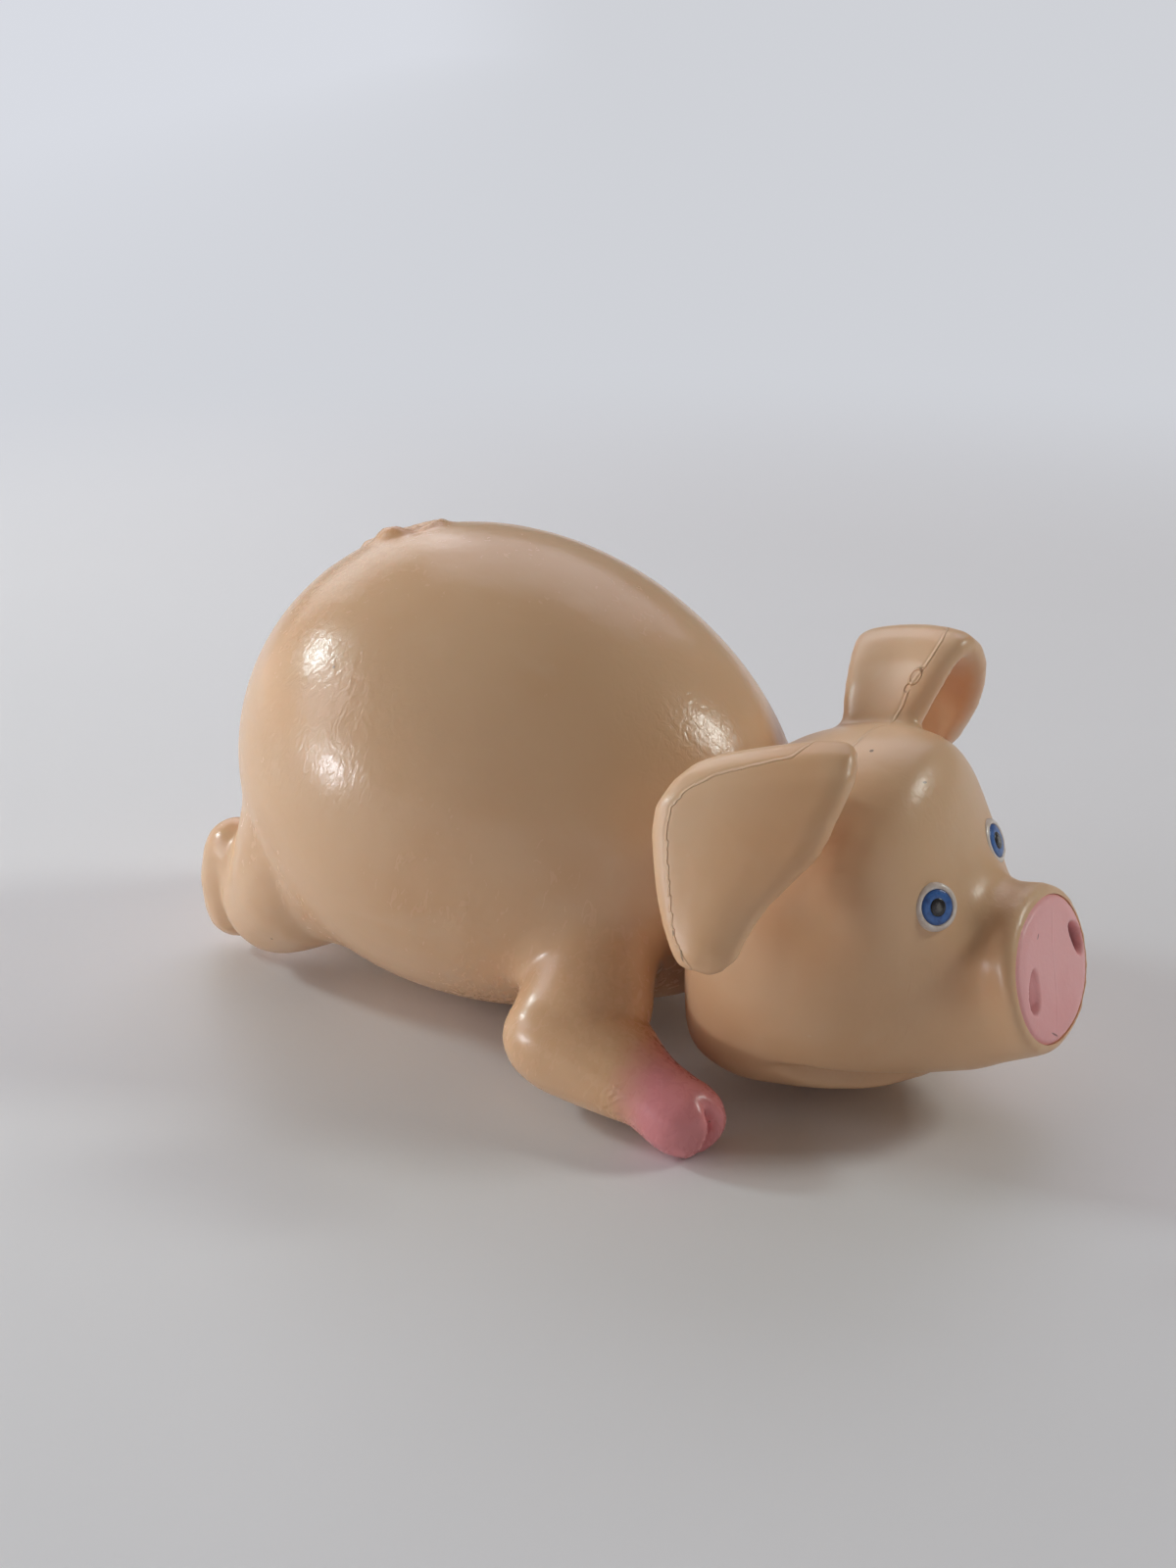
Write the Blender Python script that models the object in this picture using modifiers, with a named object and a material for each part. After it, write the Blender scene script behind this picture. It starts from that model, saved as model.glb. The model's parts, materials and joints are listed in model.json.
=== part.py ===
# Soft vinyl toy pig lying on its belly, with a head that turns on a snap-in neck.
# Metres, +Z up. The nose points along +X and the left side is +Y.
# The origin is on the flat of the belly, under the middle of the body.
import bmesh
import bpy
import math
from mathutils import Matrix, Vector

# Body casting
body_length = 0.0964
body_radius = 0.0382
body_taper_share = 0.123
body_tilt = math.radians(8.6)
shell_wall = 0.0026
belly_flat_depth = 0.0003
body_rings = 30
body_sides = 48
cavity_rings = 14
cavity_sides = 28

# Neck: a hole in the body's front that the head's plug snaps into
neck_station = body_length * 0.4305
neck_hole_radius = 0.0125
neck_turn_gap = 0.0004
neck_face_gap = 0.00035
neck_flange_overlap = 0.0021
neck_flange_thickness = 0.0022
neck_plug_wall = 0.003
neck_plug_root = 0.0045
neck_sides = 40
head_turn = math.radians(4.4)

# Head casting
head_length = 0.0502
head_half_width = 0.0278
head_top_height = 0.0285
head_bottom_depth = 0.030
snout_lean = math.radians(24.8)
head_rings = 20
head_sides = 36
chin_clearance = 0.0003

# Ears
ear_thickness = 0.0048
ear_reach = 0.0415
ear_height = head_top_height * 1.256
ear_length = 0.0212
ear_bow_share = 0.03

# Snout pad and its nostrils
pad_half_width = 0.0119
pad_half_height = 0.0103
pad_thickness = 0.0022
pad_edge_round = 0.0006
pad_gap = 0.0003
pad_proud = 0.0004
pad_sides = 36
pad_squareness = 2.15
nostril_spread = 0.0087
nostril_rise = 0.0004
nostril_half_width = 0.0012
nostril_half_height = 0.0029
nostril_depth = 0.0014

# Eyes: a white button with a blue iris and a black pupil let into it
eye_half_width = 0.0027
eye_half_height = 0.0032
eye_dome = 0.0011
eye_seat_depth = 0.0007
eye_gap = 0.00025
eye_peg_radius = 0.0011
eye_peg_length = 0.0012
iris_share = 0.71
iris_thickness = 0.0007
iris_proud = 0.00015
pupil_share = 0.5
pupil_thickness = 0.0005
pupil_proud = 0.00015
eye_forward = 0.0342
eye_spread = 0.0114
eye_rise = 0.0114
eye_sides = 20
oval = 2.0

# Legs, placed by shares of the body's length and radius
fore_leg_radius = 0.0068
fore_leg_length = 0.0283
fore_leg_spread = body_radius * 0.877
fore_elbow_station = body_length * 0.2822
fore_toe_station = fore_elbow_station + fore_leg_length
upper_arm_radius = 0.0088
haunch_radius = 0.0126
haunch_spread = body_radius * 0.406
haunch_station = body_length * 0.3994
hind_foot_radius = 0.0062
hind_foot_spread = body_radius * 0.3874
hind_foot_station = body_length * 0.5156
hind_foot_height = 0.0245
hind_clearance = 0.002
shin_radius = 0.0076
leg_sides = 16
sole_flat_depth = 0.0003
toe_cleft_width = 0.0013
toe_cleft_depth = 0.0032

# Tail: a curl moulded flat on the rump
tail_radius = 0.0013
tail_station = -body_length * 0.278
tail_curl_radius = 0.0072
tail_turns = 1.3
tail_points = 26
tail_sides = 8
tail_shrink_share = 0.78
tail_taper_share = 0.3
tail_bury_share = 0.3

# Squeaker pressed into the underside
squeaker_station = -body_length * 0.223
squeaker_turn = math.radians(5)
squeaker_barrel_radius = 0.0056
squeaker_barrel_length = 0.0082
squeaker_flange_radius = 0.0072
squeaker_flange_thickness = 0.0011
squeaker_wall = 0.0011
squeaker_vent_radius = 0.0015
squeaker_gap = 0.0003
squeaker_recess_depth = 0.0022
squeaker_ledge = 0.0016
squeaker_cap_thickness = 0.0018
squeaker_snap_height = 0.0008
squeaker_snap_thickness = 0.0012
squeaker_sides = 28
reed_width = 0.0034
reed_thickness = 0.0005
reed_slot_width = 0.0012
reed_support_height = 0.0018
rail_share = 0.76

cut_overrun = 0.002
merge_distance = 0.00001

for scene_object in list(bpy.data.objects):
    bpy.data.objects.remove(scene_object, do_unlink=True)

parts = bpy.data.collections.new("toy_pig")
cutters = bpy.data.collections.new("cutters")
bpy.context.scene.collection.children.link(parts)
bpy.context.scene.collection.children.link(cutters)


def finish(name, color, roughness):
    material = bpy.data.materials.new(name)
    material.use_nodes = True
    shader = material.node_tree.nodes["Principled BSDF"]
    shader.inputs["Base Color"].default_value = (*color, 1.0)
    shader.inputs["Roughness"].default_value = roughness
    shader.inputs["Metallic"].default_value = 0.0
    material.diffuse_color = (*color, 1.0)
    return material


def place(name, mesh, frame=None, collection=cutters):
    item = bpy.data.objects.new(name, mesh)
    collection.objects.link(item)
    item.parent = frame
    if collection is cutters:
        item.hide_render = True
        item.display_type = "WIRE"
    return item


def empty(name, matrix):
    item = bpy.data.objects.new(name, None)
    parts.objects.link(item)
    item.matrix_world = matrix
    return item


def loft(name, rings, frame=None, collection=cutters):
    # Skins a run of closed rings and caps both ends
    mesh = bpy.data.meshes.new(name)
    work = bmesh.new()
    layers = [[work.verts.new(point) for point in ring] for ring in rings]
    for near, far in zip(layers, layers[1:]):
        for side in range(len(near)):
            after = (side + 1) % len(near)
            work.faces.new((near[side], near[after], far[after], far[side]))
    work.faces.new(list(reversed(layers[0])))
    work.faces.new(layers[-1])
    bmesh.ops.recalc_face_normals(work, faces=work.faces)
    work.to_mesh(mesh)
    work.free()
    mesh.shade_smooth()
    return place(name, mesh, frame, collection)


def lathe(name, profile, sides, frame=None, collection=cutters):
    # Turns a profile of (radius, height) pairs, listed top to bottom down the outside.
    # A profile off the axis comes back to its first point and is joined there
    mesh = bpy.data.meshes.new(name)
    ring_shaped = profile[0] == profile[-1]
    points = [(radius, 0.0, height) for radius, height in profile]
    edges = [(index, index + 1) for index in range(len(points) - 1)]
    if ring_shaped:
        points.pop()
        edges[-1] = (len(points) - 1, 0)
    mesh.from_pydata(points, edges, [])
    item = place(name, mesh, frame, collection)
    turn = item.modifiers.new("turn", "SCREW")
    turn.axis = "Z"
    turn.angle = math.tau
    turn.steps = sides
    turn.render_steps = sides
    turn.use_merge_vertices = True
    turn.merge_threshold = merge_distance
    turn.use_smooth_shade = True
    return item


def combine(item, other, operation):
    step = item.modifiers.new(operation.lower() + "_" + other.name, "BOOLEAN")
    step.operation = operation
    step.object = other
    step.solver = "EXACT"


def box(name, low, high, frame=None, collection=cutters):
    mesh = bpy.data.meshes.new(name)
    work = bmesh.new()
    bmesh.ops.create_cube(work, size=1.0)
    size = Vector(high) - Vector(low)
    middle = (Vector(high) + Vector(low)) / 2
    stretch = Matrix.Diagonal((*size, 1.0))
    bmesh.ops.transform(work, matrix=Matrix.Translation(middle) @ stretch, verts=work.verts)
    work.to_mesh(mesh)
    work.free()
    return place(name, mesh, frame, collection)


def smooth_rows(rows, count):
    # Reads evenly spaced rows from a smooth curve through the given rows
    result = []
    last = len(rows) - 1
    for index in range(count):
        along = index / (count - 1) * last
        low = min(int(along), last - 1)
        share = along - low
        before = rows[max(low - 1, 0)]
        start = rows[low]
        end = rows[low + 1]
        after = rows[min(low + 2, last)]
        row = []
        for a, b, c, d in zip(before, start, end, after):
            bend = 2 * a - 5 * b + 4 * c - d
            twist = 3 * b - a - 3 * c + d
            row.append(b + share * (c - a + share * (bend + share * twist)) / 2)
        result.append(row)
    return result


def tube_rings(path, radii, sides, widths=None, width_axis=None):
    # Rings square to a path of points, closed at each end by a dome.
    # With widths, a ring is an oval that is wider along the width axis
    widths = widths or radii
    points = [Vector(point) for point in path]
    tangents = []
    for index, point in enumerate(points):
        ahead = points[min(index + 1, len(points) - 1)]
        behind = points[max(index - 1, 0)]
        tangents.append((ahead - behind).normalized())
    dome_angles = [math.radians(degrees) for degrees in (80, 55, 30)]
    stations = []
    for angle in dome_angles:
        start = points[0] - tangents[0] * radii[0] * math.sin(angle)
        stations.append((start, tangents[0], radii[0], widths[0], math.cos(angle)))
    for point, tangent, radius, width in zip(points, tangents, radii, widths):
        stations.append((point, tangent, radius, width, 1))
    for angle in reversed(dome_angles):
        end = points[-1] + tangents[-1] * radii[-1] * math.sin(angle)
        stations.append((end, tangents[-1], radii[-1], widths[-1], math.cos(angle)))
    across = width_axis or tangents[0].orthogonal()
    rings = []
    for centre, tangent, radius, width, shrink in stations:
        across = (across - tangent * across.dot(tangent)).normalized()
        upward = tangent.cross(across)
        ring = []
        for side in range(sides):
            angle = math.tau * side / sides
            offset = across * (math.cos(angle) * width) + upward * (math.sin(angle) * radius)
            ring.append(centre + offset * shrink)
        rings.append(ring)
    return rings


def egg_radius(station, length, radius):
    # The body's radius at a distance along its axis, measured from its middle
    share = station / (length / 2)
    return radius * math.sqrt(max(1 - share * share, 0.0)) * (1 - body_taper_share * share)


def egg_profile(front, length, radius, rings):
    # Points from the front station back to the rear pole
    half = length / 2
    front_angle = math.acos(-front / half)
    profile = []
    for index in range(rings):
        angle = front_angle * (1 - index / rings)
        station = -half * math.cos(angle)
        profile.append((egg_radius(station, length, radius), station))
    profile.append((0.0, -half))
    return profile


def belly_drop():
    # How far the body reaches below its own middle
    deepest = 0.0
    for radius, station in egg_profile(neck_station, body_length, body_radius, body_rings):
        deepest = max(deepest, radius * math.cos(body_tilt) + station * math.sin(body_tilt))
    return deepest


skin = finish("vinyl_skin", (0.60, 0.42, 0.29), 0.42)
pink = finish("vinyl_pink", (0.68, 0.29, 0.31), 0.45)
eye_white = finish("eye_white", (0.72, 0.70, 0.66), 0.25)
eye_blue = finish("eye_blue", (0.04, 0.12, 0.38), 0.25)
eye_black = finish("eye_black", (0.012, 0.012, 0.014), 0.15)
squeaker_plastic = finish("squeaker_plastic", (0.75, 0.75, 0.72), 0.4)
reed_plastic = finish("reed_plastic", (0.55, 0.56, 0.58), 0.35)

axis_height = belly_drop() - belly_flat_depth
body_axes = Matrix.Translation((0.0, 0.0, axis_height)) @ Matrix.Rotation(body_tilt, 4, "Y")
lathe_to_axis = Matrix.Rotation(math.pi / 2, 4, "Y")
body_frame = empty("body_frame", body_axes)
body_lathe_frame = empty("body_lathe_frame", body_axes @ lathe_to_axis)
neck_axes = body_axes @ Matrix.Translation((neck_station, 0.0, 0.0)) @ Matrix.Rotation(head_turn, 4, "X")
neck_joint = empty("neck_joint", neck_axes)
neck_lathe_frame = empty("neck_lathe_frame", neck_axes @ lathe_to_axis)


def front_leg(side):
    # A forearm lying forward on its trotter and a broad upper arm that runs up into the body
    spread = fore_leg_spread * side
    floor = -sole_flat_depth
    radii_share = (1.2, 1.18, 1.02, 0.84, 0.86, 0.88)
    along_share = (0.0, 0.2, 0.48, 0.74, 0.92, 1.0)
    inward_share = (0.06, 0.05, 0.02, -0.01, -0.03, -0.03)
    lift_share = (0.4, 0.34, 0.32, 0.34, 0.1, 0.0)
    shoulder_share = (0.97, 0.6, 0.62)
    arm_along_share = (0.0, 0.4, 0.75, 1.0)
    thickness_share = (1.05, 1.0, 0.9, 0.78)
    width_share = (1.2, 1.12, 1.05, 0.84)
    radii = [fore_leg_radius * share for share in radii_share]
    reach = fore_toe_station - radii[-1] - fore_elbow_station
    path = []
    for along, inward, lift, radius in zip(along_share, inward_share, lift_share, radii):
        height = floor + radius + fore_leg_radius * lift
        path.append((fore_elbow_station + reach * along, spread * (1 - inward), height))
    forearm = loft("forearm", tube_rings(path, radii, leg_sides))
    elbow = Vector(path[0]).lerp(Vector(path[1]), 0.4)
    shoulder_reach = (fore_elbow_station, spread, axis_height)
    shoulder = Vector([reach * share for reach, share in zip(shoulder_reach, shoulder_share)])
    arm_path = [shoulder.lerp(elbow, share) for share in arm_along_share]
    thickness = [upper_arm_radius * share for share in thickness_share]
    width = [upper_arm_radius * share for share in width_share]
    arm_rings = tube_rings(arm_path, thickness, leg_sides, width, Vector((1.0, 0.0, 0.0)))
    return [forearm, loft("upper_arm", arm_rings)]


def toe_cleft(side):
    # The slot that divides the trotter into two toes
    spread = fore_leg_spread * side
    low = (fore_toe_station - toe_cleft_depth, spread - toe_cleft_width / 2, -cut_overrun)
    high = (fore_toe_station + cut_overrun, spread + toe_cleft_width / 2, fore_leg_radius * 3)
    cleft = box("toe_cleft", low, high)
    rounding = cleft.modifiers.new("rounding", "BEVEL")
    rounding.width = toe_cleft_width * 0.4
    rounding.segments = 2
    return cleft


def hind_leg(side):
    # The thigh tucked under the rump, the knee near the floor and the foot standing behind
    spread = haunch_spread * side
    thigh_share = (
        (0.62, 0.86, 0.88, 1.5), (0.78, 1.05, 0.62, 1.15), (0.9, 1.04, 0.42, 0.99), (1.0, 1.0, 0.3, 0.86),
    )
    path = []
    radii = []
    for station_share, spread_share, height_share, radius_share in thigh_share:
        height = max(axis_height * height_share, hind_clearance + haunch_radius * radius_share)
        path.append((-haunch_station * station_share, spread * spread_share, height))
        radii.append(haunch_radius * radius_share)
    thigh = loft("thigh", tube_rings(path, radii, leg_sides))
    foot_side = hind_foot_spread * side
    foot_low = hind_clearance + hind_foot_radius * 0.95
    foot_high = hind_foot_height - hind_foot_radius
    foot_path = [
        (-hind_foot_station * 0.985, foot_side, foot_high),
        (-hind_foot_station * 1.005, foot_side, (foot_low + foot_high) / 2),
        (-hind_foot_station, foot_side, foot_low),
    ]
    foot_radii = [hind_foot_radius * share for share in (0.97, 1.0, 0.95)]
    foot = loft("hind_foot", tube_rings(foot_path, foot_radii, leg_sides))
    knee = Vector(path[-1])
    heel = Vector(foot_path[0])
    shin_path = [knee, knee.lerp(heel, 0.5), heel]
    shin_radii = [shin_radius * share for share in (1.15, 1.0, 0.77)]
    shin = loft("shin", tube_rings(shin_path, shin_radii, leg_sides))
    return [thigh, shin, foot]


def tail_curl():
    # A round cord wound into a flat curl that lies on the rump, half sunk in it
    path = []
    radii = []
    for index in range(tail_points):
        share = index / (tail_points - 1)
        angle = math.tau * tail_turns * share
        wind = tail_curl_radius * (1 - tail_shrink_share * share)
        station = tail_station - wind * math.cos(angle)
        radius = egg_radius(station, body_length, body_radius) - tail_radius * tail_bury_share
        lean = wind * math.sin(angle) / radius
        path.append((station, radius * math.sin(lean), radius * math.cos(lean)))
        radii.append(tail_radius * (1 - tail_taper_share * share))
    return loft("tail_curl", tube_rings(path, radii, tail_sides), body_frame)


def squeaker_axes():
    # The place on the underside's middle line, with Z pointing out of the belly
    radius = egg_radius(squeaker_station, body_length, body_radius)
    step = body_radius / 100
    slope = (egg_radius(squeaker_station + step, body_length, body_radius) - radius) / step
    outward = Vector((-slope, 0.0, -1.0)).normalized()
    turn = outward.to_track_quat("Z", "Y").to_matrix().to_4x4()
    spin = Matrix.Rotation(squeaker_turn, 4, "Z")
    return body_axes @ Matrix.Translation((squeaker_station, 0.0, -radius)) @ turn @ spin


squeaker_frame = empty("squeaker_frame", squeaker_axes())


def body_shell():
    outer = egg_profile(neck_station, body_length, body_radius, body_rings)
    shell = lathe("body_shell", [(0.0, neck_station)] + outer, body_sides, body_lathe_frame, parts)
    for side in (-1, 1):
        for limb in front_leg(side) + hind_leg(side):
            combine(shell, limb, "UNION")
        combine(shell, toe_cleft(side), "DIFFERENCE")
    combine(shell, tail_curl(), "UNION")
    reach = body_length
    combine(shell, box("floor", (-reach, -reach, -reach), (reach, reach, 0.0)), "DIFFERENCE")
    inner_length = body_length - 2 * shell_wall
    inner_radius = body_radius - shell_wall
    inner_front = neck_station - shell_wall
    inner = egg_profile(inner_front, inner_length, inner_radius, cavity_rings)
    cavity = lathe("body_cavity", [(0.0, inner_front)] + inner, cavity_sides, body_lathe_frame)
    combine(shell, cavity, "DIFFERENCE")
    hole_profile = [
        (0.0, cut_overrun),
        (neck_hole_radius, cut_overrun),
        (neck_hole_radius, -shell_wall - cut_overrun),
        (0.0, -shell_wall - cut_overrun),
    ]
    combine(shell, lathe("neck_hole", hole_profile, neck_sides, neck_lathe_frame), "DIFFERENCE")
    seat_radius = squeaker_flange_radius + squeaker_gap
    barrel_radius = squeaker_barrel_radius + squeaker_gap
    seat_profile = [
        (0.0, cut_overrun),
        (seat_radius, cut_overrun),
        (seat_radius, -squeaker_recess_depth),
        (barrel_radius, -squeaker_recess_depth),
        (barrel_radius, -squeaker_recess_depth - squeaker_ledge - cut_overrun),
        (0.0, -squeaker_recess_depth - squeaker_ledge - cut_overrun),
    ]
    boss_radius = seat_radius + shell_wall / 2
    boss_profile = [
        (0.0, -shell_wall / 2),
        (boss_radius, -shell_wall / 2),
        (boss_radius, -squeaker_recess_depth - squeaker_ledge),
        (0.0, -squeaker_recess_depth - squeaker_ledge),
    ]
    combine(shell, lathe("squeaker_boss", boss_profile, squeaker_sides, squeaker_frame), "UNION")
    combine(shell, lathe("squeaker_seat", seat_profile, squeaker_sides, squeaker_frame), "DIFFERENCE")
    shell.data.materials.append(skin)
    return shell


def head_section(row, inset):
    # One closed ring of the head. Its face leans back towards the snout
    forward_share, width_share, top_share, bottom_share, middle_share, lean_share, squareness = row
    forward = head_length * forward_share
    half_width = head_half_width * width_share - inset
    middle = head_top_height * middle_share
    top = head_top_height * top_share - middle - inset
    bottom = head_bottom_depth * bottom_share + middle - inset
    lean = math.tan(snout_lean * lean_share)
    ring = []
    for side in range(head_sides):
        angle = math.tau * side / head_sides
        across = math.copysign(abs(math.cos(angle)) ** (2 / squareness), math.cos(angle))
        upward = math.copysign(abs(math.sin(angle)) ** (2 / squareness), math.sin(angle))
        height = middle + (top if upward > 0 else bottom) * upward
        rise = height - head_top_height * snout_middle_share
        ring.append((forward - rise * lean, half_width * across, height))
    return ring


# Shares: forward, half width, top, bottom, height of the widest point, lean, squareness
snout_middle_share = 0.058
head_share = (
    (0.007, 0.63, 0.61, 0.6, 0.0, 0.0, 2.1),
    (0.03, 0.775, 0.674, 0.79, -0.05, 0.0, 2.15),
    (0.09, 0.915, 0.758, 0.94, -0.10, 0.0, 2.16),
    (0.18, 0.985, 0.85, 0.98, -0.14, 0.0, 2.12),
    (0.32, 1.0, 0.96, 0.955, -0.16, 0.0, 2.05),
    (0.46, 0.94, 1.0, 0.91, -0.16, 0.0, 2.05),
    (0.56, 0.835, 0.925, 0.84, -0.16, 0.04, 2.07),
    (0.64, 0.71, 0.75, 0.765, -0.14, 0.1, 2.07),
    (0.71, 0.588, 0.565, 0.68, -0.12, 0.22, 2.05),
    (0.785, 0.495, 0.43, 0.56, -0.07, 0.42, 2.05),
    (0.865, 0.452, 0.39, 0.445, -0.02, 0.7, 2.1),
    (0.93, 0.462, 0.418, 0.37, 0.02, 0.92, 2.1),
    (0.975, 0.482, 0.432, 0.316, 0.05, 1.0, 2.1),
    (1.0, 0.468, 0.414, 0.292, 0.06, 1.0, 2.1),
)
head_rows = smooth_rows(head_share, head_rings)
head_form = loft("head_form", [head_section(row, 0.0) for row in head_rows], neck_joint)


def ear(side):
    # A thick flap that rises from the head's top, folds over outwards and hangs down
    # Shares of reach, height and length: rear edge, then front edge, from root to tip
    flap_share = (
        ((0.33, 0.29, 0.48), (0.83, 0.29, 0.56)),
        ((0.26, 0.37, 0.58), (0.86, 0.37, 0.69)),
        ((0.13, 0.52, 0.71), (0.95, 0.42, 0.90)),
        ((0.03, 0.68, 0.77), (1.03, 0.50, 1.02)),
        ((0.0, 0.79, 0.69), (1.13, 0.61, 0.96)),
        ((0.07, 0.88, 0.49), (1.13, 0.77, 0.71)),
        ((0.33, 0.96, 0.29), (0.93, 0.92, 0.38)),
        ((0.55, 1.0, 0.19), (0.72, 0.995, 0.195)),
    )
    columns = 4
    mesh = bpy.data.meshes.new("ear")
    work = bmesh.new()
    rows = []
    for rear, front in flap_share:
        row = []
        for column in range(columns + 1):
            share = column / columns
            forward, outward, upward = [a + (b - a) * share for a, b in zip(rear, front)]
            bow = ear_bow_share * math.sin(math.pi * share)
            point = (ear_length * forward, side * ear_reach * (outward + bow), ear_height * (upward + bow))
            row.append(work.verts.new(point))
        rows.append(row)
    for near, far in zip(rows, rows[1:]):
        for column in range(columns):
            work.faces.new((near[column], near[column + 1], far[column + 1], far[column]))
    bmesh.ops.recalc_face_normals(work, faces=work.faces)
    work.to_mesh(mesh)
    work.free()
    flap = place("ear", mesh, neck_joint)
    wall = flap.modifiers.new("wall", "SOLIDIFY")
    wall.thickness = ear_thickness
    wall.offset = 0.0
    soft = flap.modifiers.new("soft", "SUBSURF")
    soft.levels = 1
    soft.render_levels = 1
    return flap


def neck_plug():
    # Turned about the neck: root in the head, waist in the body's hole, flange inside the body
    waist = neck_hole_radius - neck_turn_gap
    flange = neck_hole_radius + neck_flange_overlap
    flange_front = -shell_wall - neck_face_gap
    flange_rear = flange_front - neck_flange_thickness
    profile = [
        (0.0, neck_plug_root),
        (waist + neck_flange_overlap, neck_plug_root),
        (waist + neck_flange_overlap, neck_face_gap + shell_wall / 4),
        (waist, neck_face_gap + shell_wall / 4),
        (waist, flange_front),
        (flange, flange_front),
        (flange, flange_front - neck_flange_thickness / 3),
        (waist - neck_plug_wall / 3, flange_rear),
        (0.0, flange_rear),
    ]
    return lathe("neck_plug", profile, neck_sides, neck_lathe_frame)


def superellipse(half_width, half_height, squareness, sides):
    points = []
    for side in range(sides):
        angle = math.tau * side / sides
        across = math.copysign(abs(math.cos(angle)) ** (2 / squareness), math.cos(angle))
        upward = math.copysign(abs(math.sin(angle)) ** (2 / squareness), math.sin(angle))
        points.append((half_width * across, half_height * upward))
    return points


def plate(name, layers, squareness, sides, frame, collection=cutters):
    # A plate of superellipse layers, each given as half width, half height and depth
    rings = []
    for half_width, half_height, depth in layers:
        rings.append([(x, y, depth) for x, y in superellipse(half_width, half_height, squareness, sides)])
    return loft(name, rings, frame, collection)


def snout_axes():
    # At the middle of the snout's flat end, with Z pointing out of it and Y up along it
    height = head_top_height * snout_middle_share
    turn = Matrix.Rotation(math.pi / 2 - snout_lean, 4, "Y") @ Matrix.Rotation(math.pi / 2, 4, "Z")
    return neck_axes @ Matrix.Translation((head_length, 0.0, height)) @ turn


snout_frame = empty("snout_frame", snout_axes())


def surface_axes(item, guess):
    # The frame that sits flat on an object's skin near a point, with Z outwards
    bpy.context.view_layer.update()
    inverse = item.matrix_world.inverted()
    centre = item.closest_point_on_mesh(inverse @ guess)[1]
    outward = Vector((0.0, 0.0, 0.0))
    for row in range(-1, 2):
        for column in range(-1, 2):
            offset = Vector((0.0, eye_half_width * row, eye_half_height * column))
            outward += item.closest_point_on_mesh(centre + offset)[2]
    outward.normalize()
    turn = (item.matrix_world.to_3x3() @ outward).to_track_quat("Z", "Y").to_matrix().to_4x4()
    return Matrix.Translation(item.matrix_world @ centre) @ turn


def domed_plate(name, half_width, half_height, base, edge, dome, material, frame):
    # An oval button: a straight edge from base to edge, then a low dome
    layers = [(half_width, half_height, base), (half_width, half_height, edge)]
    for degrees in (25, 50, 72):
        angle = math.radians(degrees)
        shrink = math.cos(angle)
        layers.append((half_width * shrink, half_height * shrink, edge + dome * math.sin(angle)))
    button = plate(name, layers, oval, eye_sides, frame, parts)
    button.data.materials.append(material)
    return button


def eye(side, head):
    # White button in a socket, iris let into the white, pupil let into the iris
    name = "left" if side > 0 else "right"
    guess = neck_axes @ Vector((eye_forward, eye_spread * side, eye_rise))
    frame = empty(name + "_eye_frame", surface_axes(head_form, guess))
    white_base = -eye_seat_depth
    white = domed_plate(
        name + "_eye_white", eye_half_width, eye_half_height, white_base, 0.0, eye_dome, eye_white, frame,
    )
    peg_profile = [
        (0.0, white_base + eye_seat_depth / 2),
        (eye_peg_radius, white_base + eye_seat_depth / 2),
        (eye_peg_radius, white_base - eye_peg_length),
        (0.0, white_base - eye_peg_length),
    ]
    combine(white, lathe("eye_peg", peg_profile, eye_sides // 2, frame), "UNION")
    iris_width = eye_half_width * iris_share
    iris_height = eye_half_height * iris_share
    iris_base = eye_dome + iris_proud - iris_thickness
    iris = domed_plate(
        name + "_eye_iris", iris_width, iris_height, iris_base, iris_base + iris_thickness / 2,
        iris_thickness / 2, eye_blue, frame,
    )
    recess = [
        (iris_width + eye_gap, iris_height + eye_gap, iris_base - eye_gap),
        (iris_width + eye_gap, iris_height + eye_gap, eye_dome * 2),
    ]
    combine(white, plate("iris_recess", recess, oval, eye_sides, frame), "DIFFERENCE")
    pupil_width = iris_width * pupil_share
    pupil_height = iris_height * pupil_share
    pupil_base = iris_base + iris_thickness + pupil_proud - pupil_thickness
    domed_plate(
        name + "_eye_pupil", pupil_width, pupil_height, pupil_base, pupil_base + pupil_thickness / 2,
        pupil_thickness / 2, eye_black, frame,
    )
    recess = [
        (pupil_width + eye_gap, pupil_height + eye_gap, pupil_base - eye_gap),
        (pupil_width + eye_gap, pupil_height + eye_gap, eye_dome * 2),
    ]
    combine(iris, plate("pupil_recess", recess, oval, eye_sides, frame), "DIFFERENCE")
    socket = [
        (eye_half_width + eye_gap, eye_half_height + eye_gap, white_base - eye_gap),
        (eye_half_width + eye_gap, eye_half_height + eye_gap, eye_dome + cut_overrun),
    ]
    combine(head, plate("eye_socket", socket, oval, eye_sides, frame), "DIFFERENCE")
    hole_profile = [
        (0.0, 0.0),
        (eye_peg_radius + eye_gap, 0.0),
        (eye_peg_radius + eye_gap, white_base - eye_peg_length - eye_gap),
        (0.0, white_base - eye_peg_length - eye_gap),
    ]
    combine(head, lathe("eye_peg_hole", hole_profile, eye_sides // 2, frame), "DIFFERENCE")


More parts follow.
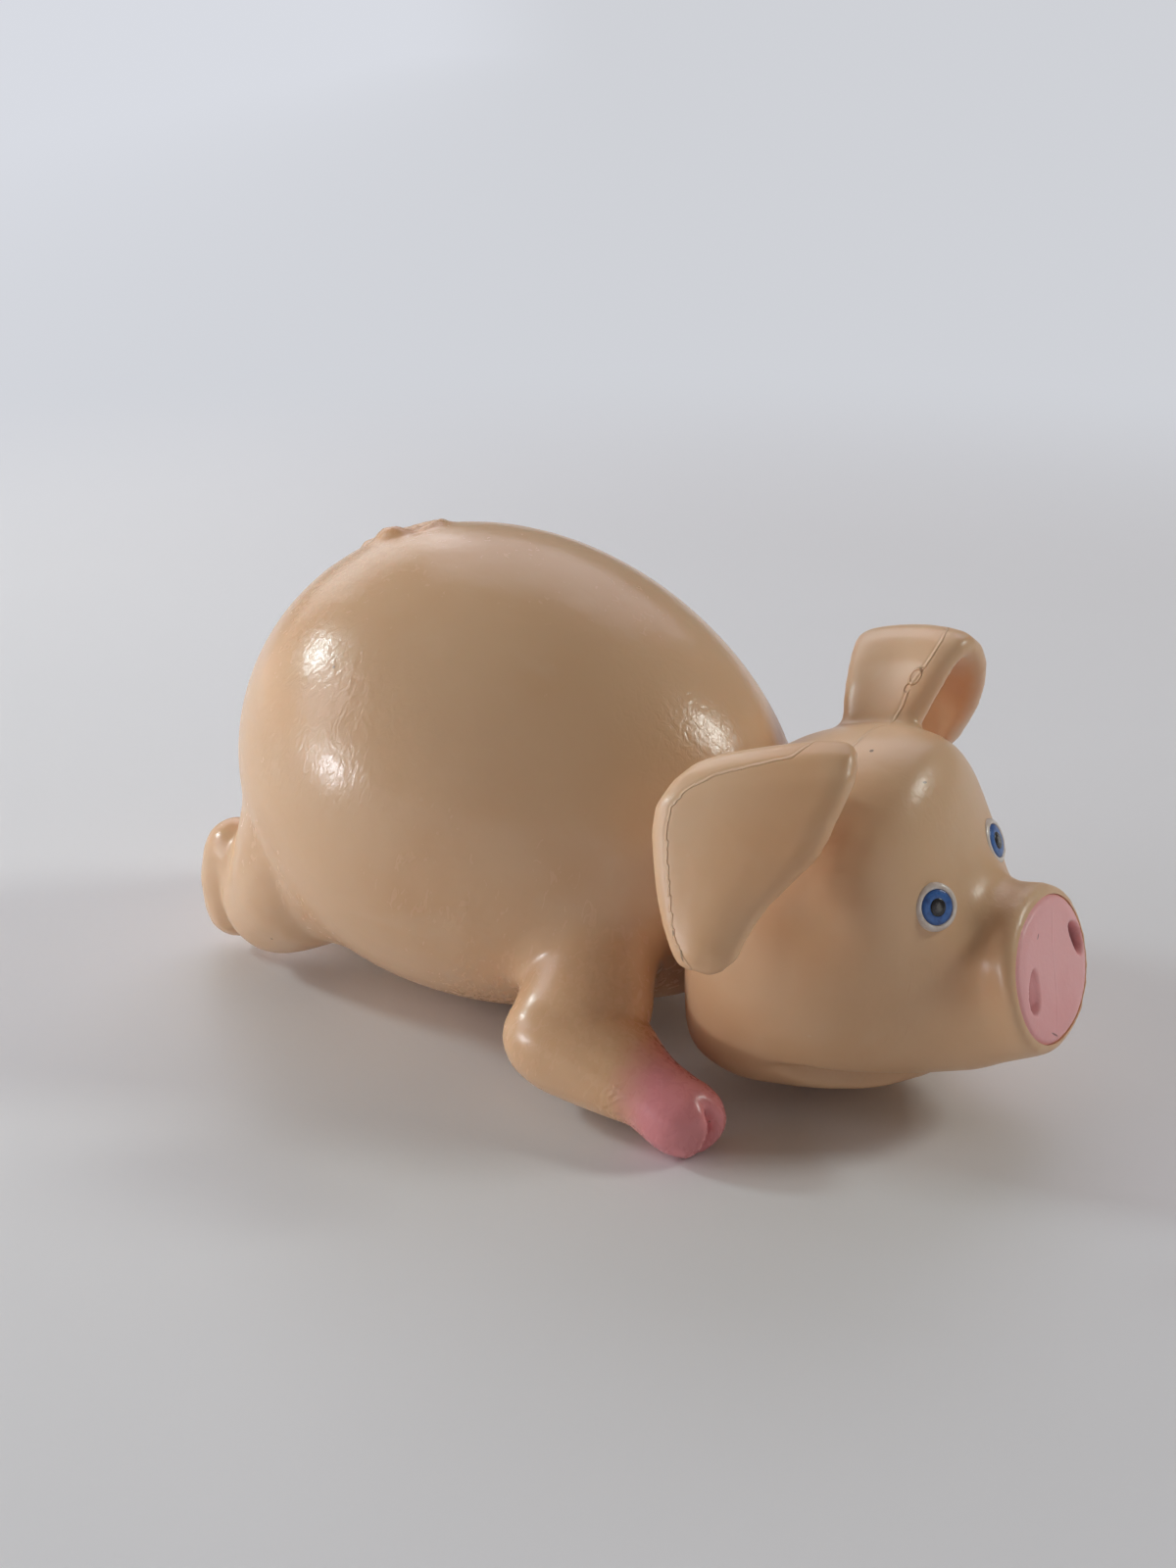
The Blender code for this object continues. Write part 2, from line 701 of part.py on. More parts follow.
def snout_pad(head):
    # The flat pink end of the snout, let into the muzzle, with two scooped nostrils
    front = pad_proud
    back = front - pad_thickness
    inset_width = pad_half_width - pad_edge_round
    inset_height = pad_half_height - pad_edge_round
    layers = [
        (pad_half_width, pad_half_height, back),
        (pad_half_width, pad_half_height, front - pad_edge_round),
        (inset_width, inset_height, front),
    ]
    pad = plate("snout_pad", layers, pad_squareness, pad_sides, snout_frame, parts)
    for side in (-1, 1):
        nostril = [
            (nostril_half_width * 0.55, nostril_half_height * 0.7, front - nostril_depth),
            (nostril_half_width, nostril_half_height, front),
            (nostril_half_width * 1.3, nostril_half_height * 1.15, front + pad_edge_round),
        ]
        scoop = plate("nostril", nostril, oval, pad_sides // 2, snout_frame)
        scoop.location = (nostril_spread * side, nostril_rise, 0.0)
        combine(pad, scoop, "DIFFERENCE")
    pad.data.materials.append(pink)
    seat = [
        (pad_half_width + pad_gap, pad_half_height + pad_gap, back - pad_gap),
        (pad_half_width + pad_gap, pad_half_height + pad_gap, cut_overrun * 2),
    ]
    combine(head, plate("pad_seat", seat, pad_squareness, pad_sides, snout_frame), "DIFFERENCE")


def head_shell():
    head = loft("head_shell", [head_section(row, 0.0) for row in head_rows], neck_joint, parts)
    for side in (-1, 1):
        combine(head, ear(side), "UNION")
    combine(head, neck_plug(), "UNION")
    wall_rows = head_rows[2:-3]
    cavity = loft("head_cavity", [head_section(row, shell_wall) for row in wall_rows], neck_joint)
    combine(head, cavity, "DIFFERENCE")
    bore_radius = neck_hole_radius - neck_turn_gap - neck_plug_wall
    bore_top = head_length * head_share[4][0]
    bore_bottom = -shell_wall - neck_face_gap - neck_flange_thickness - cut_overrun
    bore = [(0.0, bore_top), (bore_radius, bore_top), (bore_radius, bore_bottom), (0.0, bore_bottom)]
    combine(head, lathe("neck_bore", bore, neck_sides // 2, neck_lathe_frame), "DIFFERENCE")
    reach = body_length * 2
    combine(head, box("chin_floor", (-reach, -reach, -reach), (reach, reach, chin_clearance)), "DIFFERENCE")
    head.data.materials.append(skin)
    return head


def squeaker():
    # Housing with a flange and a vent, a reed clamped across it, and a snap-in cap
    barrel = squeaker_barrel_radius
    top = -squeaker_recess_depth + squeaker_gap
    flange_top = top + squeaker_flange_thickness
    bottom = top - squeaker_barrel_length
    inside = barrel - squeaker_wall
    seat = bottom + squeaker_cap_thickness
    snap_top = -squeaker_recess_depth - squeaker_ledge - squeaker_gap
    snap_bottom = snap_top - squeaker_snap_thickness
    profile = [
        (squeaker_vent_radius, flange_top),
        (squeaker_flange_radius, flange_top),
        (squeaker_flange_radius, top),
        (barrel, top),
        (barrel, snap_top),
        (barrel + squeaker_snap_height, snap_top),
        (barrel, snap_bottom),
        (barrel, bottom),
        (inside, bottom),
        (inside, top),
        (squeaker_vent_radius, top),
        (squeaker_vent_radius, flange_top),
    ]
    housing = lathe("squeaker_housing", profile, squeaker_sides, squeaker_frame, parts)
    housing.data.materials.append(squeaker_plastic)
    cap_radius = inside - squeaker_gap
    cap_profile = [
        (squeaker_vent_radius, seat),
        (cap_radius, seat),
        (cap_radius, bottom),
        (squeaker_vent_radius, bottom),
        (squeaker_vent_radius, seat),
    ]
    cap = lathe("squeaker_cap", cap_profile, squeaker_sides, squeaker_frame, parts)
    rail_high = seat + reed_support_height
    rail_reach = cap_radius * rail_share
    for side in (-1, 1):
        near = reed_slot_width / 2
        far = reed_width / 2
        low = (-rail_reach, min(side * near, side * far), seat - squeaker_cap_thickness / 3)
        high = (rail_reach, max(side * near, side * far), rail_high)
        combine(cap, box("reed_rail", low, high, squeaker_frame), "UNION")
    cap.data.materials.append(squeaker_plastic)
    reed_low = (-rail_reach, -reed_width / 2, rail_high + squeaker_gap)
    reed_high = (rail_reach, reed_width / 2, rail_high + squeaker_gap + reed_thickness)
    reed = box("squeaker_reed", reed_low, reed_high, squeaker_frame, parts)
    reed.data.materials.append(reed_plastic)


body_shell()
head = head_shell()
snout_pad(head)
for eye_side in (-1, 1):
    eye(eye_side, head)
squeaker()
bpy.context.view_layer.update()
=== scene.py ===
import json
import math

import bpy
import numpy as np
from mathutils import Matrix, Vector
from mathutils.bvhtree import BVHTree


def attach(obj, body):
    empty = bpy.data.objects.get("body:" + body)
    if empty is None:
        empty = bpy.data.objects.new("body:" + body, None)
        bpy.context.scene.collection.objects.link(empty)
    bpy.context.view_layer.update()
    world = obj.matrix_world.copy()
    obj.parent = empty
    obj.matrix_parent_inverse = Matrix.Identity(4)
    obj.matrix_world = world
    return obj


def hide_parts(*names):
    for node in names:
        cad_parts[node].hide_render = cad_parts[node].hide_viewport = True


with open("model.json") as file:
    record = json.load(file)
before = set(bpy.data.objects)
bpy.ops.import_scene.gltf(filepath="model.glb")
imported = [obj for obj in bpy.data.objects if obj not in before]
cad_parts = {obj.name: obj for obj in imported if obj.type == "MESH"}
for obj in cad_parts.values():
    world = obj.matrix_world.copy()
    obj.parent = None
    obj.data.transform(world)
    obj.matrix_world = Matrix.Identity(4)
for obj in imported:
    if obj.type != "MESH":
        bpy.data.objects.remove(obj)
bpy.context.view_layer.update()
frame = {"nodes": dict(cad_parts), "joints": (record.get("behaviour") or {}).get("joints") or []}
print("frame loaded:", len(frame["nodes"]), "nodes")

neckJoint = next(joint for joint in frame["joints"] if joint["name"] == "neck_swivel")
neckTip = math.radians(8.6)  # how far the neck's line tips down to the front
headRoll = math.radians(4.4)  # how far the stored head is rolled about the neck's line
neckFrame = Matrix.Translation(neckJoint["pos_m"]) @ Matrix.Rotation(neckTip, 4, "Y")
headFrame = neckFrame @ Matrix.Rotation(headRoll, 4, "X")
snoutPlace = (0.0502, 0, 0.00165)  # the middle of the CAD muzzle's end, in the head's frame
snoutLean = math.radians(65.2)  # from the head's upward line to the way the snout faces
snoutFrame = headFrame @ Matrix.Translation(snoutPlace)
snoutFrame = snoutFrame @ Matrix.Rotation(snoutLean, 4, "Y") @ Matrix.Rotation(math.pi / 2, 4, "Z")
snoutSink = Matrix.Translation((0, 0, -0.00072))
snoutTurn = snoutSink @ Matrix.Rotation(math.radians(-2.2), 4, "Y")
padFrame = snoutFrame @ snoutTurn  # the photo shows the pad's face turned a little to the near side
mergeDistance = 0.000005  # metres, under which two of the casting's vertices are one
smoothAngle = math.radians(50)  # edges sharper than this stay crisp


# Editing helpers
def takeUp(piece):  # the only selected object, and the active one
    bpy.ops.object.select_all(action="DESELECT")
    bpy.context.view_layer.objects.active = piece
    piece.select_set(True)


def applyModifier(piece, kind, **settings):
    modifier = piece.modifiers.new(kind.lower(), kind)
    for name, value in settings.items():
        setattr(modifier, name, value)
    takeUp(piece)
    bpy.ops.object.modifier_apply(modifier=modifier.name)


def combine(piece, other, operation):  # a boolean that uses up the other object
    applyModifier(piece, "BOOLEAN", operation=operation, object=other, solver="EXACT")
    bpy.data.objects.remove(other, do_unlink=True)


def pointsOf(piece):
    points = np.zeros(len(piece.data.vertices) * 3)
    piece.data.vertices.foreach_get("co", points)
    return points.reshape(-1, 3)


def normalsOf(piece):
    normals = np.zeros(len(piece.data.vertices) * 3, dtype=np.float32)
    piece.data.vertex_normals.foreach_get("vector", normals)
    return normals.reshape(-1, 3).astype(float)


def movePoints(piece, points):
    piece.data.vertices.foreach_set("co", points.reshape(-1))
    piece.data.update()


def inFrame(points, axes):  # world points read in a frame, in millimetres
    inverse = np.array(axes.inverted())
    return (points @ inverse[:3, :3].T + inverse[:3, 3]) * 1000


def step(value, low, high):
    share = np.clip((value - low) / (high - low), 0, 1)
    return share * share * (3 - 2 * share)


def bell(value, width):
    return np.exp(-(value / width) ** 2)


def weigh(piece, name, weights, levels=20):  # a vertex group from an array, in even levels
    group = piece.vertex_groups.new(name=name)
    nearest = np.rint(np.clip(weights, 0, 1) * levels).astype(int)
    for level in range(levels + 1):
        chosen = np.nonzero(nearest == level)[0]
        if len(chosen):
            group.add([int(index) for index in chosen], level / levels, "REPLACE")


def store(piece, name, values):  # a number at each vertex, for the material to read
    attribute = piece.data.attributes.new(name, "FLOAT", "POINT")
    attribute.data.foreach_set("value", np.asarray(values, dtype=np.float32))


def castingCopy(node, name):  # the CAD casting's own form, with its doubles merged
    mesh = frame["nodes"][node].data.copy()
    mesh.materials.clear()
    piece = bpy.data.objects.new(name, mesh)
    bpy.context.scene.collection.objects.link(piece)
    takeUp(piece)
    bpy.ops.object.mode_set(mode="EDIT")
    bpy.ops.mesh.select_all(action="SELECT")
    bpy.ops.mesh.remove_doubles(threshold=mergeDistance)
    bpy.ops.object.mode_set(mode="OBJECT")
    return piece


def away(points, zones):  # 0 inside the zones, rising to 1 outside them, in millimetres
    weights = np.ones(len(points))
    for centre, inner, outer in zones:
        distance = np.linalg.norm(points - np.array(centre), axis=1)
        weights = np.minimum(weights, step(distance, inner, outer))
    return weights


def linksOf(piece):  # each point's neighbours, for averages
    edges = np.zeros(len(piece.data.edges) * 2, dtype=np.int64)
    piece.data.edges.foreach_get("vertices", edges)
    first, second = edges[::2], edges[1::2]
    ends = np.concatenate([first, second])
    return ends, np.concatenate([second, first]), np.bincount(ends, minlength=len(piece.data.vertices))


def averaged(values, links):  # the mean of each point's neighbours
    ends, others, degree = links
    if values.ndim == 2:
        return np.stack([averaged(column, links) for column in values.T], axis=1)
    return np.bincount(ends, weights=values[others], minlength=len(values)) / np.maximum(degree, 1)


def fillValleys(piece, zones, rounds, passes, spread=6):  # raises what lies under the smoothed skin
    links = linksOf(piece)
    for _ in range(rounds):
        points = pointsOf(piece)
        normals = normalsOf(piece)
        soft = points
        for _ in range(passes):
            soft = (soft + averaged(soft, links)) / 2
        rise = np.maximum(((soft - points) * normals).sum(axis=1), 0) * (1 - away(points * 1000, zones))
        for _ in range(spread):
            rise = (rise + averaged(rise, links)) / 2
        movePoints(piece, points + normals * rise[:, None])


def sculpt(piece, axes, touches):  # swells and dents: centre, radius, lift along the skin, both sides
    points = pointsOf(piece)
    local = inFrame(points, axes)
    lift = np.zeros(len(points))
    for centre, radius, height, paired in touches:
        for side in (1, -1) if paired else (1,):
            lift += height * bell(np.linalg.norm(local - np.array(centre) * (1, side, 1), axis=1), radius)
    movePoints(piece, points + normalsOf(piece) * (lift / 1000)[:, None])


def nearLine(points, line):  # each point's distance to a run of points, and the nearest place on it
    best = np.full(len(points), np.inf)
    place = np.zeros((len(points), 3))
    for start, end in zip(line, line[1:]):
        run = end - start
        share = np.clip((points - start) @ run / (run @ run), 0, 1)
        closest = start + share[:, None] * run
        distance = np.linalg.norm(points - closest, axis=1)
        nearer = distance < best
        best[nearer] = distance[nearer]
        place[nearer] = closest[nearer]
    return best, place


# Shader maths
class Sock:  # a node's output, so that sums of sockets read as sums
    def __init__(self, paint, output):
        self.paint = paint
        self.output = output

    def maths(self, operation, first, second=0.0):
        return self.paint.node("ShaderNodeMath", {"operation": operation}, {0: first, 1: second})

    def __add__(self, other):
        return self.maths("ADD", self, other)

    __radd__ = __add__

    def __sub__(self, other):
        return self.maths("SUBTRACT", self, other)

    def __rsub__(self, other):
        return self.maths("SUBTRACT", other, self)

    def __mul__(self, other):
        return self.maths("MULTIPLY", self, other)

    def __abs__(self):
        return self.maths("ABSOLUTE", self)


class Paint:  # one material and its nodes
    def __init__(self, name, **constants):
        self.material = bpy.data.materials.new(name)
        self.material.use_nodes = True
        self.tree = self.material.node_tree
        self.shader = self.tree.nodes["Principled BSDF"]
        for socket, value in constants.items():
            self.shader.inputs[socket.replace("_", " ")].default_value = value
        self.place = self.node("ShaderNodeTexCoord", output="Object")

    def node(self, kind, settings=None, sockets=None, output=0):
        made = self.tree.nodes.new(kind)
        for name, value in (settings or {}).items():
            setattr(made, name, value)
        for socket, value in (sockets or {}).items():
            if isinstance(value, Sock):
                self.tree.links.new(value.output, made.inputs[socket])
            else:
                made.inputs[socket].default_value = value
        return Sock(self, made.outputs[output])

    def into(self, socket, value):
        self.tree.links.new(value.output, self.shader.inputs[socket])

    def noise(self, scale, detail=2.0, distortion=0.0, roughness=0.5, vector=None):
        sockets = {"Vector": vector or self.place, "Scale": scale, "Detail": detail,
                   "Distortion": distortion, "Roughness": roughness}
        return self.node("ShaderNodeTexNoise", {}, sockets)

    def ramp(self, value, low, high):  # 0 below low, 1 above high, smooth between
        return self.node("ShaderNodeMapRange", {"interpolation_type": "SMOOTHSTEP"},
                         {"Value": value, "From Min": low, "From Max": high})

    def mix(self, share, first, second):  # colours
        return self.node("ShaderNodeMix", {"data_type": "RGBA"}, {0: share, 6: first, 7: second}, 2)

    def shift(self, scale, turn=(0, 0, 0), middle=(0, 0, 0)):
        return self.node("ShaderNodeMapping", {"vector_type": "TEXTURE"},
                         {"Vector": self.place, "Location": middle, "Rotation": turn, "Scale": scale})

    def attribute(self, name):
        return self.node("ShaderNodeAttribute", {"attribute_name": name}, {}, "Fac")

    def length(self, vector):
        return self.node("ShaderNodeVectorMath", {"operation": "LENGTH"}, {0: vector}, "Value")

    def specks(self, scale, size, share):  # a dot in some of the cells, its size in cell widths
        sockets = {"Vector": self.place, "Scale": scale}
        distance = self.node("ShaderNodeTexVoronoi", {"feature": "F1"}, sockets, "Distance")
        cell = self.node("ShaderNodeTexVoronoi", {"feature": "F1"}, sockets, "Color")
        chance = self.node("ShaderNodeSeparateColor", {}, {"Color": cell})
        return (1 - self.ramp(distance, size * 0.5, size)) * self.ramp(chance, 1 - share, 1.01 - share)

    def spot(self, axes, size):  # 1 inside a small ellipsoid whose half sizes are in millimetres
        reach = self.length(self.shift([side / 1000 for side in size], axes.to_euler(), axes.translation))
        return 1 - self.ramp(reach, 0.6, 1.0)

    def bump(self, height, distance):  # the distance is the relief in metres for a height of 1
        return self.node("ShaderNodeBump", {}, {"Height": height, "Distance": distance, "Strength": 1.0})


# Materials
softness = {"Subsurface_Weight": 0.1, "Subsurface_Scale": 0.002}  # how light goes into the vinyl
hardRelief = 0.00003  # metres, the fine relief of hard plastic


def axesAt(place, outward, upward=(0, 0, 1)):  # millimetres in the head's frame, Z out of the skin
    out = Vector(outward).normalized()
    across = Vector(upward).cross(out).normalized()
    turn = Matrix((across, out.cross(across), out)).transposed().to_4x4()
    return headFrame @ Matrix.Translation(Vector(place) / 1000) @ turn


vinylLook = {
    "skin": (0.79, 0.515, 0.31, 1),
    "warm": (0.755, 0.455, 0.25, 1),
    "pale": (0.82, 0.585, 0.39, 1),
    # line: painted shade in the mouth's crease and on the dark side of the parting line
    "line": (0.50, 0.29, 0.16, 1),
    # amber: the painted warm shade in hollows, also the orange at the spray's edge and round the gate mark
    "amber": (0.75, 0.40, 0.20, 1),
    "blush": (0.74, 0.27, 0.28, 1),
    "speck": (0.10, 0.055, 0.03, 1),
    "shares": {  # how much of its colour each lays on at its fullest
        "light": 0.45, "scuff": 0.2, "dot": 0.35, "crease": 0.4, "speck": 0.75, "fold": 0.1, "ridge": 0.3,
        "ring": 0.15, "pit": 0.5, "haze": 0.2,
    },
    "scatter": (1.0, 0.45, 0.25),  # how far red, green and blue light spread in the skin
    "roughness": (0.25, 0.34),  # body and head
    "relief": 0.00016,
    "heights": {"swell": 0.8, "ridge": 0.8, "fold": 0.15, "ring": 1.2, "pit": 1.6},  # times the relief
    "clouds": {"scale": 28, "detail": 3.0},
    "lights": {"scale": 55, "detail": 4.0, "distortion": 0.6},
    "scuffs": {"scale": 420, "detail": 1.0, "distortion": 0.4},
    "scuffStretch": ((1.0, 3.0, 4.5), (0.3, 0.5, 0.9)),  # scale and turn
    "patches": {"scale": 40, "detail": 1.0},
    "dots": (330, 0.13, 0.04),  # scale, size in cells and share of the cells
    "specks": (150, 0.045, 0.09),
    "swells": {"scale": 150, "detail": 2.0, "distortion": 0.3},
    "wrinkles": {"scale": 780, "detail": 2.0, "distortion": 0.9},
    "wrinkleStretch": ((1.0, 1.0, 2.8), (0.15, 0.3, 0.0)),
    "wrinkleHeights": (0.08, 0.55),  # everywhere, and added where the skin is like leather
    "spray": {"scale": 260, "detail": 3.0},
    "flaws": [  # head skin: place, outward, upward, half sizes
        ((18.2, -4.0, 27.4), (-0.2, -0.14, 0.97), (1, 0, 0), (0.45, 0.35, 0.8)),
        ((27.1, -4.8, 25.9), (0.6, -0.2, 0.78), (0.5, 1, 0), (0.22, 0.5, 0.8)),
        ((9.15, -41.74, 12.26), (-0.1, -0.9, 0.38), (0.4, -0.3, -0.8), (0.2, 0.5, 1.2)),
        ((11.4, -43.0, 10.3), (-0.28, -0.93, 0.23), (0.4, -0.3, -0.8), (0.25, 1.0, 1.2)),
    ],
    "gate": ((15.5, 16.5, 30.5), (-0.3, -0.82, 0.50), (0.205, 0.444, 0.872), (1.05, 1.55, 3.0)),  # far ear
    "gatePits": [((-0.1, -2.1), (0.55, 0.8, 2.0)), ((0.5, 1.4), (0.45, 0.45, 2.0))],  # place and half sizes
}


def vinylPaint(name, head):
    look = vinylLook
    shares = look["shares"]
    heights = look["heights"]
    paint = Paint(name, Subsurface_Radius=look["scatter"], IOR=1.48, **softness)
    cloud = paint.noise(**look["clouds"])
    light = paint.ramp(paint.noise(**look["lights"]), 0.55, 0.78)
    scuff = paint.noise(**look["scuffs"], vector=paint.shift(*look["scuffStretch"]))
    scuff = paint.ramp(scuff, 0.76, 0.80) * paint.ramp(paint.noise(**look["patches"]), 0.52, 0.62)
    dot = paint.specks(*look["dots"])
    speck = paint.specks(*look["specks"])
    colour = paint.mix(paint.ramp(cloud, 0.42, 0.70), look["skin"], look["warm"])
    colour = paint.mix(light * shares["light"], colour, look["pale"])
    # painted warm shade in the hollows and where the legs meet the body
    colour = paint.mix(paint.attribute("warmShade"), colour, look["amber"])
    colour = paint.mix(scuff * shares["scuff"], colour, look["pale"])
    colour = paint.mix(dot * shares["dot"], colour, look["pale"])
    wrinkle = paint.noise(**look["wrinkles"], vector=paint.shift(*look["wrinkleStretch"]))
    least, most = look["wrinkleHeights"]
    height = wrinkle * (least + paint.attribute("leather") * most)
    height = height + paint.noise(**look["swells"]) * heights["swell"]
    seam = paint.attribute("seam")  # millimetres off the parting line
    ridge = 1 - paint.ramp(abs(seam), 0.04, 0.34)
    fold = 1 - paint.ramp(abs(seam + 0.35), 0.05, 0.4)  # the dented side of the parting line, which also takes painted shade
    height = height + ridge * heights["ridge"] - fold * heights["fold"] + paint.attribute("mark")
    if head:
        # painted shade along the mouth's crease
        colour = paint.mix(paint.attribute("crease") * shares["crease"], colour, look["line"])
        for place, outward, upward, size in look["flaws"]:
            speck = speck + paint.spot(axesAt(place, outward, upward), size)
        ring, pit = gateMark(paint)
        height = height + ring * heights["ring"] - pit * heights["pit"]
        colour = paint.mix(pit * shares["pit"] + ring * shares["ring"], colour, look["amber"])
    else:
        blush = paint.attribute("blush") + (paint.noise(**look["spray"]) - 0.5) * 0.3  # with a ragged edge
        colour = paint.mix(paint.ramp(blush, 0.05, 0.5) * shares["haze"], colour, look["amber"])
        colour = paint.mix(paint.ramp(blush, 0.15, 0.95), colour, look["blush"])
    colour = paint.mix(speck * shares["speck"], colour, look["speck"])
    # painted shade on the dented side of the parting line
    colour = paint.mix(fold * shares["fold"], colour, look["line"])
    # painted highlight along the parting line's raised ridge
    paint.into("Base Color", paint.mix(ridge * shares["ridge"], colour, look["pale"]))
    roughness = look["roughness"][head] + (cloud - 0.5) * 0.16 + (wrinkle - 0.5) * 0.1 + scuff * 0.12
    paint.into("Roughness", roughness)
    paint.into("Normal", paint.bump(height, look["relief"]))
    return paint.material


def gateMark(paint):  # the ring and pits where the far ear's casting was cut from its mould
    place, outward, upward, size = vinylLook["gate"]
    axes = axesAt(place, outward, upward)
    reach = paint.length(paint.shift([side / 1000 for side in size], axes.to_euler(), axes.translation))
    ring = 1 - paint.ramp(abs(reach - 0.8), 0.05, 0.24)
    pits = [paint.spot(axes @ Matrix.Translation((across / 1000, rise / 1000, 0)), half)
            for (across, rise), half in vinylLook["gatePits"]]
    return ring, pits[0] + pits[1]


padLook = {
    "pink": (1.0, 0.51, 0.51, 1),
    "deep": (0.93, 0.415, 0.42, 1),
    # painted shade in the nostrils
    "nostrilShade": (0.28, 0.08, 0.09, 1),
    "speck": (0.16, 0.07, 0.06, 1),
    "shares": {"deep": 0.6, "pit": 0.9, "speck": 0.6},
    "scatter": (1.0, 0.4, 0.3),
    "roughness": 0.44,
    "relief": 0.00014,
    "heights": {"wrinkle": 0.35, "ridge": 0.4},
    "clouds": {"scale": 90, "detail": 3.0},
    "wrinkles": {"scale": 900, "detail": 3.0, "distortion": 1.0},
    "specks": (220, 0.06, 0.10),
    "flaws": [  # place, turn and half sizes on the pad
        ((-2.9, 6.5), 0.6, (0.6, 0.16)), ((-4.5, -8.2), -0.7, (1.4, 0.15)),
    ],
}


def padPaint(name):
    look = padLook
    shares = look["shares"]
    heights = look["heights"]
    paint = Paint(name, Subsurface_Radius=look["scatter"], **softness)
    cloud = paint.ramp(paint.noise(**look["clouds"]), 0.45, 0.75)
    colour = paint.mix(cloud * shares["deep"], look["pink"], look["deep"])
    # painted shade in the nostrils, deepest on their outer walls
    colour = paint.mix(paint.attribute("pit") * shares["pit"], colour, look["nostrilShade"])
    speck = paint.specks(*look["specks"])
    for (across, rise), turn, (halfLength, halfWidth) in look["flaws"]:
        axes = padFrame @ Matrix.Translation((across / 1000, rise / 1000, 0)) @ Matrix.Rotation(turn, 4, "Z")
        speck = speck + paint.spot(axes, (halfLength, halfWidth, 2.0))
    paint.into("Base Color", paint.mix(speck * shares["speck"], colour, look["speck"]))
    wrinkle = paint.noise(**look["wrinkles"])
    paint.into("Roughness", look["roughness"] + (wrinkle - 0.5) * 0.15)
    ridge = 1 - paint.ramp(abs(paint.attribute("seam")), 0.04, 0.2)
    height = wrinkle * heights["wrinkle"] + ridge * heights["ridge"] - speck
    paint.into("Normal", paint.bump(height, look["relief"]))
    return paint.material


def glossPaint(name, colour, shade, roughness, scale, paintedReflection=None):
    paint = Paint(name, Coat_Weight=0.3, Coat_Roughness=0.15)
    cloud = paint.noise(scale, 3.0)
    reach = paint.attribute("reach")  # 0 in the middle of the button, 1 at its edge
    tone = paint.mix(paint.ramp(cloud, 0.35, 0.75), colour, shade)
    # painted shade towards each button's rim, where it falls away to the part round it
    tone = paint.mix(paint.ramp(reach, 0.8, 0.98) * 0.7, tone, shade)
    # painted reflection: a grey patch in the middle for the bright room seen in the gloss
    if paintedReflection:
        tone = paint.mix(1 - paint.ramp(reach + (cloud - 0.5) * 0.9, 0.22, 0.6), tone, paintedReflection)
    paint.into("Base Color", tone)
    paint.into("Roughness", roughness + (cloud - 0.5) * 0.15)
    paint.into("Normal", paint.bump(paint.noise(2200, 2.0), hardRelief))
    return paint.material


def plainPlasticPaint(name, colour, shade, roughness):
    paint = Paint(name)
    cloud = paint.noise(160, 3.0)
    paint.into("Base Color", paint.mix(paint.ramp(cloud, 0.4, 0.8), colour, shade))
    grain = paint.noise(2600, 2.0)
    paint.into("Roughness", roughness + (grain - 0.5) * 0.12)
    paint.into("Normal", paint.bump(grain, hardRelief))
    return paint.material


bodyVinyl = vinylPaint("bodyVinyl", False)
headVinyl = vinylPaint("headVinyl", True)
pinkVinyl = padPaint("pinkVinyl")
eyeWhite = glossPaint("eyeWhite", (0.84, 0.77, 0.72, 1), (0.70, 0.58, 0.50, 1), 0.32, 700)
eyeBlue = glossPaint("eyeBlue", (0.05, 0.17, 0.50, 1), (0.022, 0.075, 0.27, 1), 0.30, 900)
# the pupil's grey middle is a painted reflection
eyeBlack = glossPaint("eyeBlack", (0.012, 0.012, 0.014, 1), (0.02, 0.02, 0.022, 1), 0.25, 1900,
                      (0.13, 0.13, 0.12, 1))
barrelPlastic = plainPlasticPaint("barrelPlastic", (0.72, 0.71, 0.68, 1), (0.66, 0.64, 0.60, 1), 0.42)
reedPlastic = plainPlasticPaint("reedPlastic", (0.5, 0.51, 0.53, 1), (0.45, 0.46, 0.48, 1), 0.38)
print("materials made")


def finishSkin(piece, material, body, node):
    piece.data.materials.clear()
    piece.data.materials.append(material)
    takeUp(piece)
    bpy.ops.object.shade_smooth_by_angle(angle=smoothAngle)
    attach(piece, body)
    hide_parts(node)


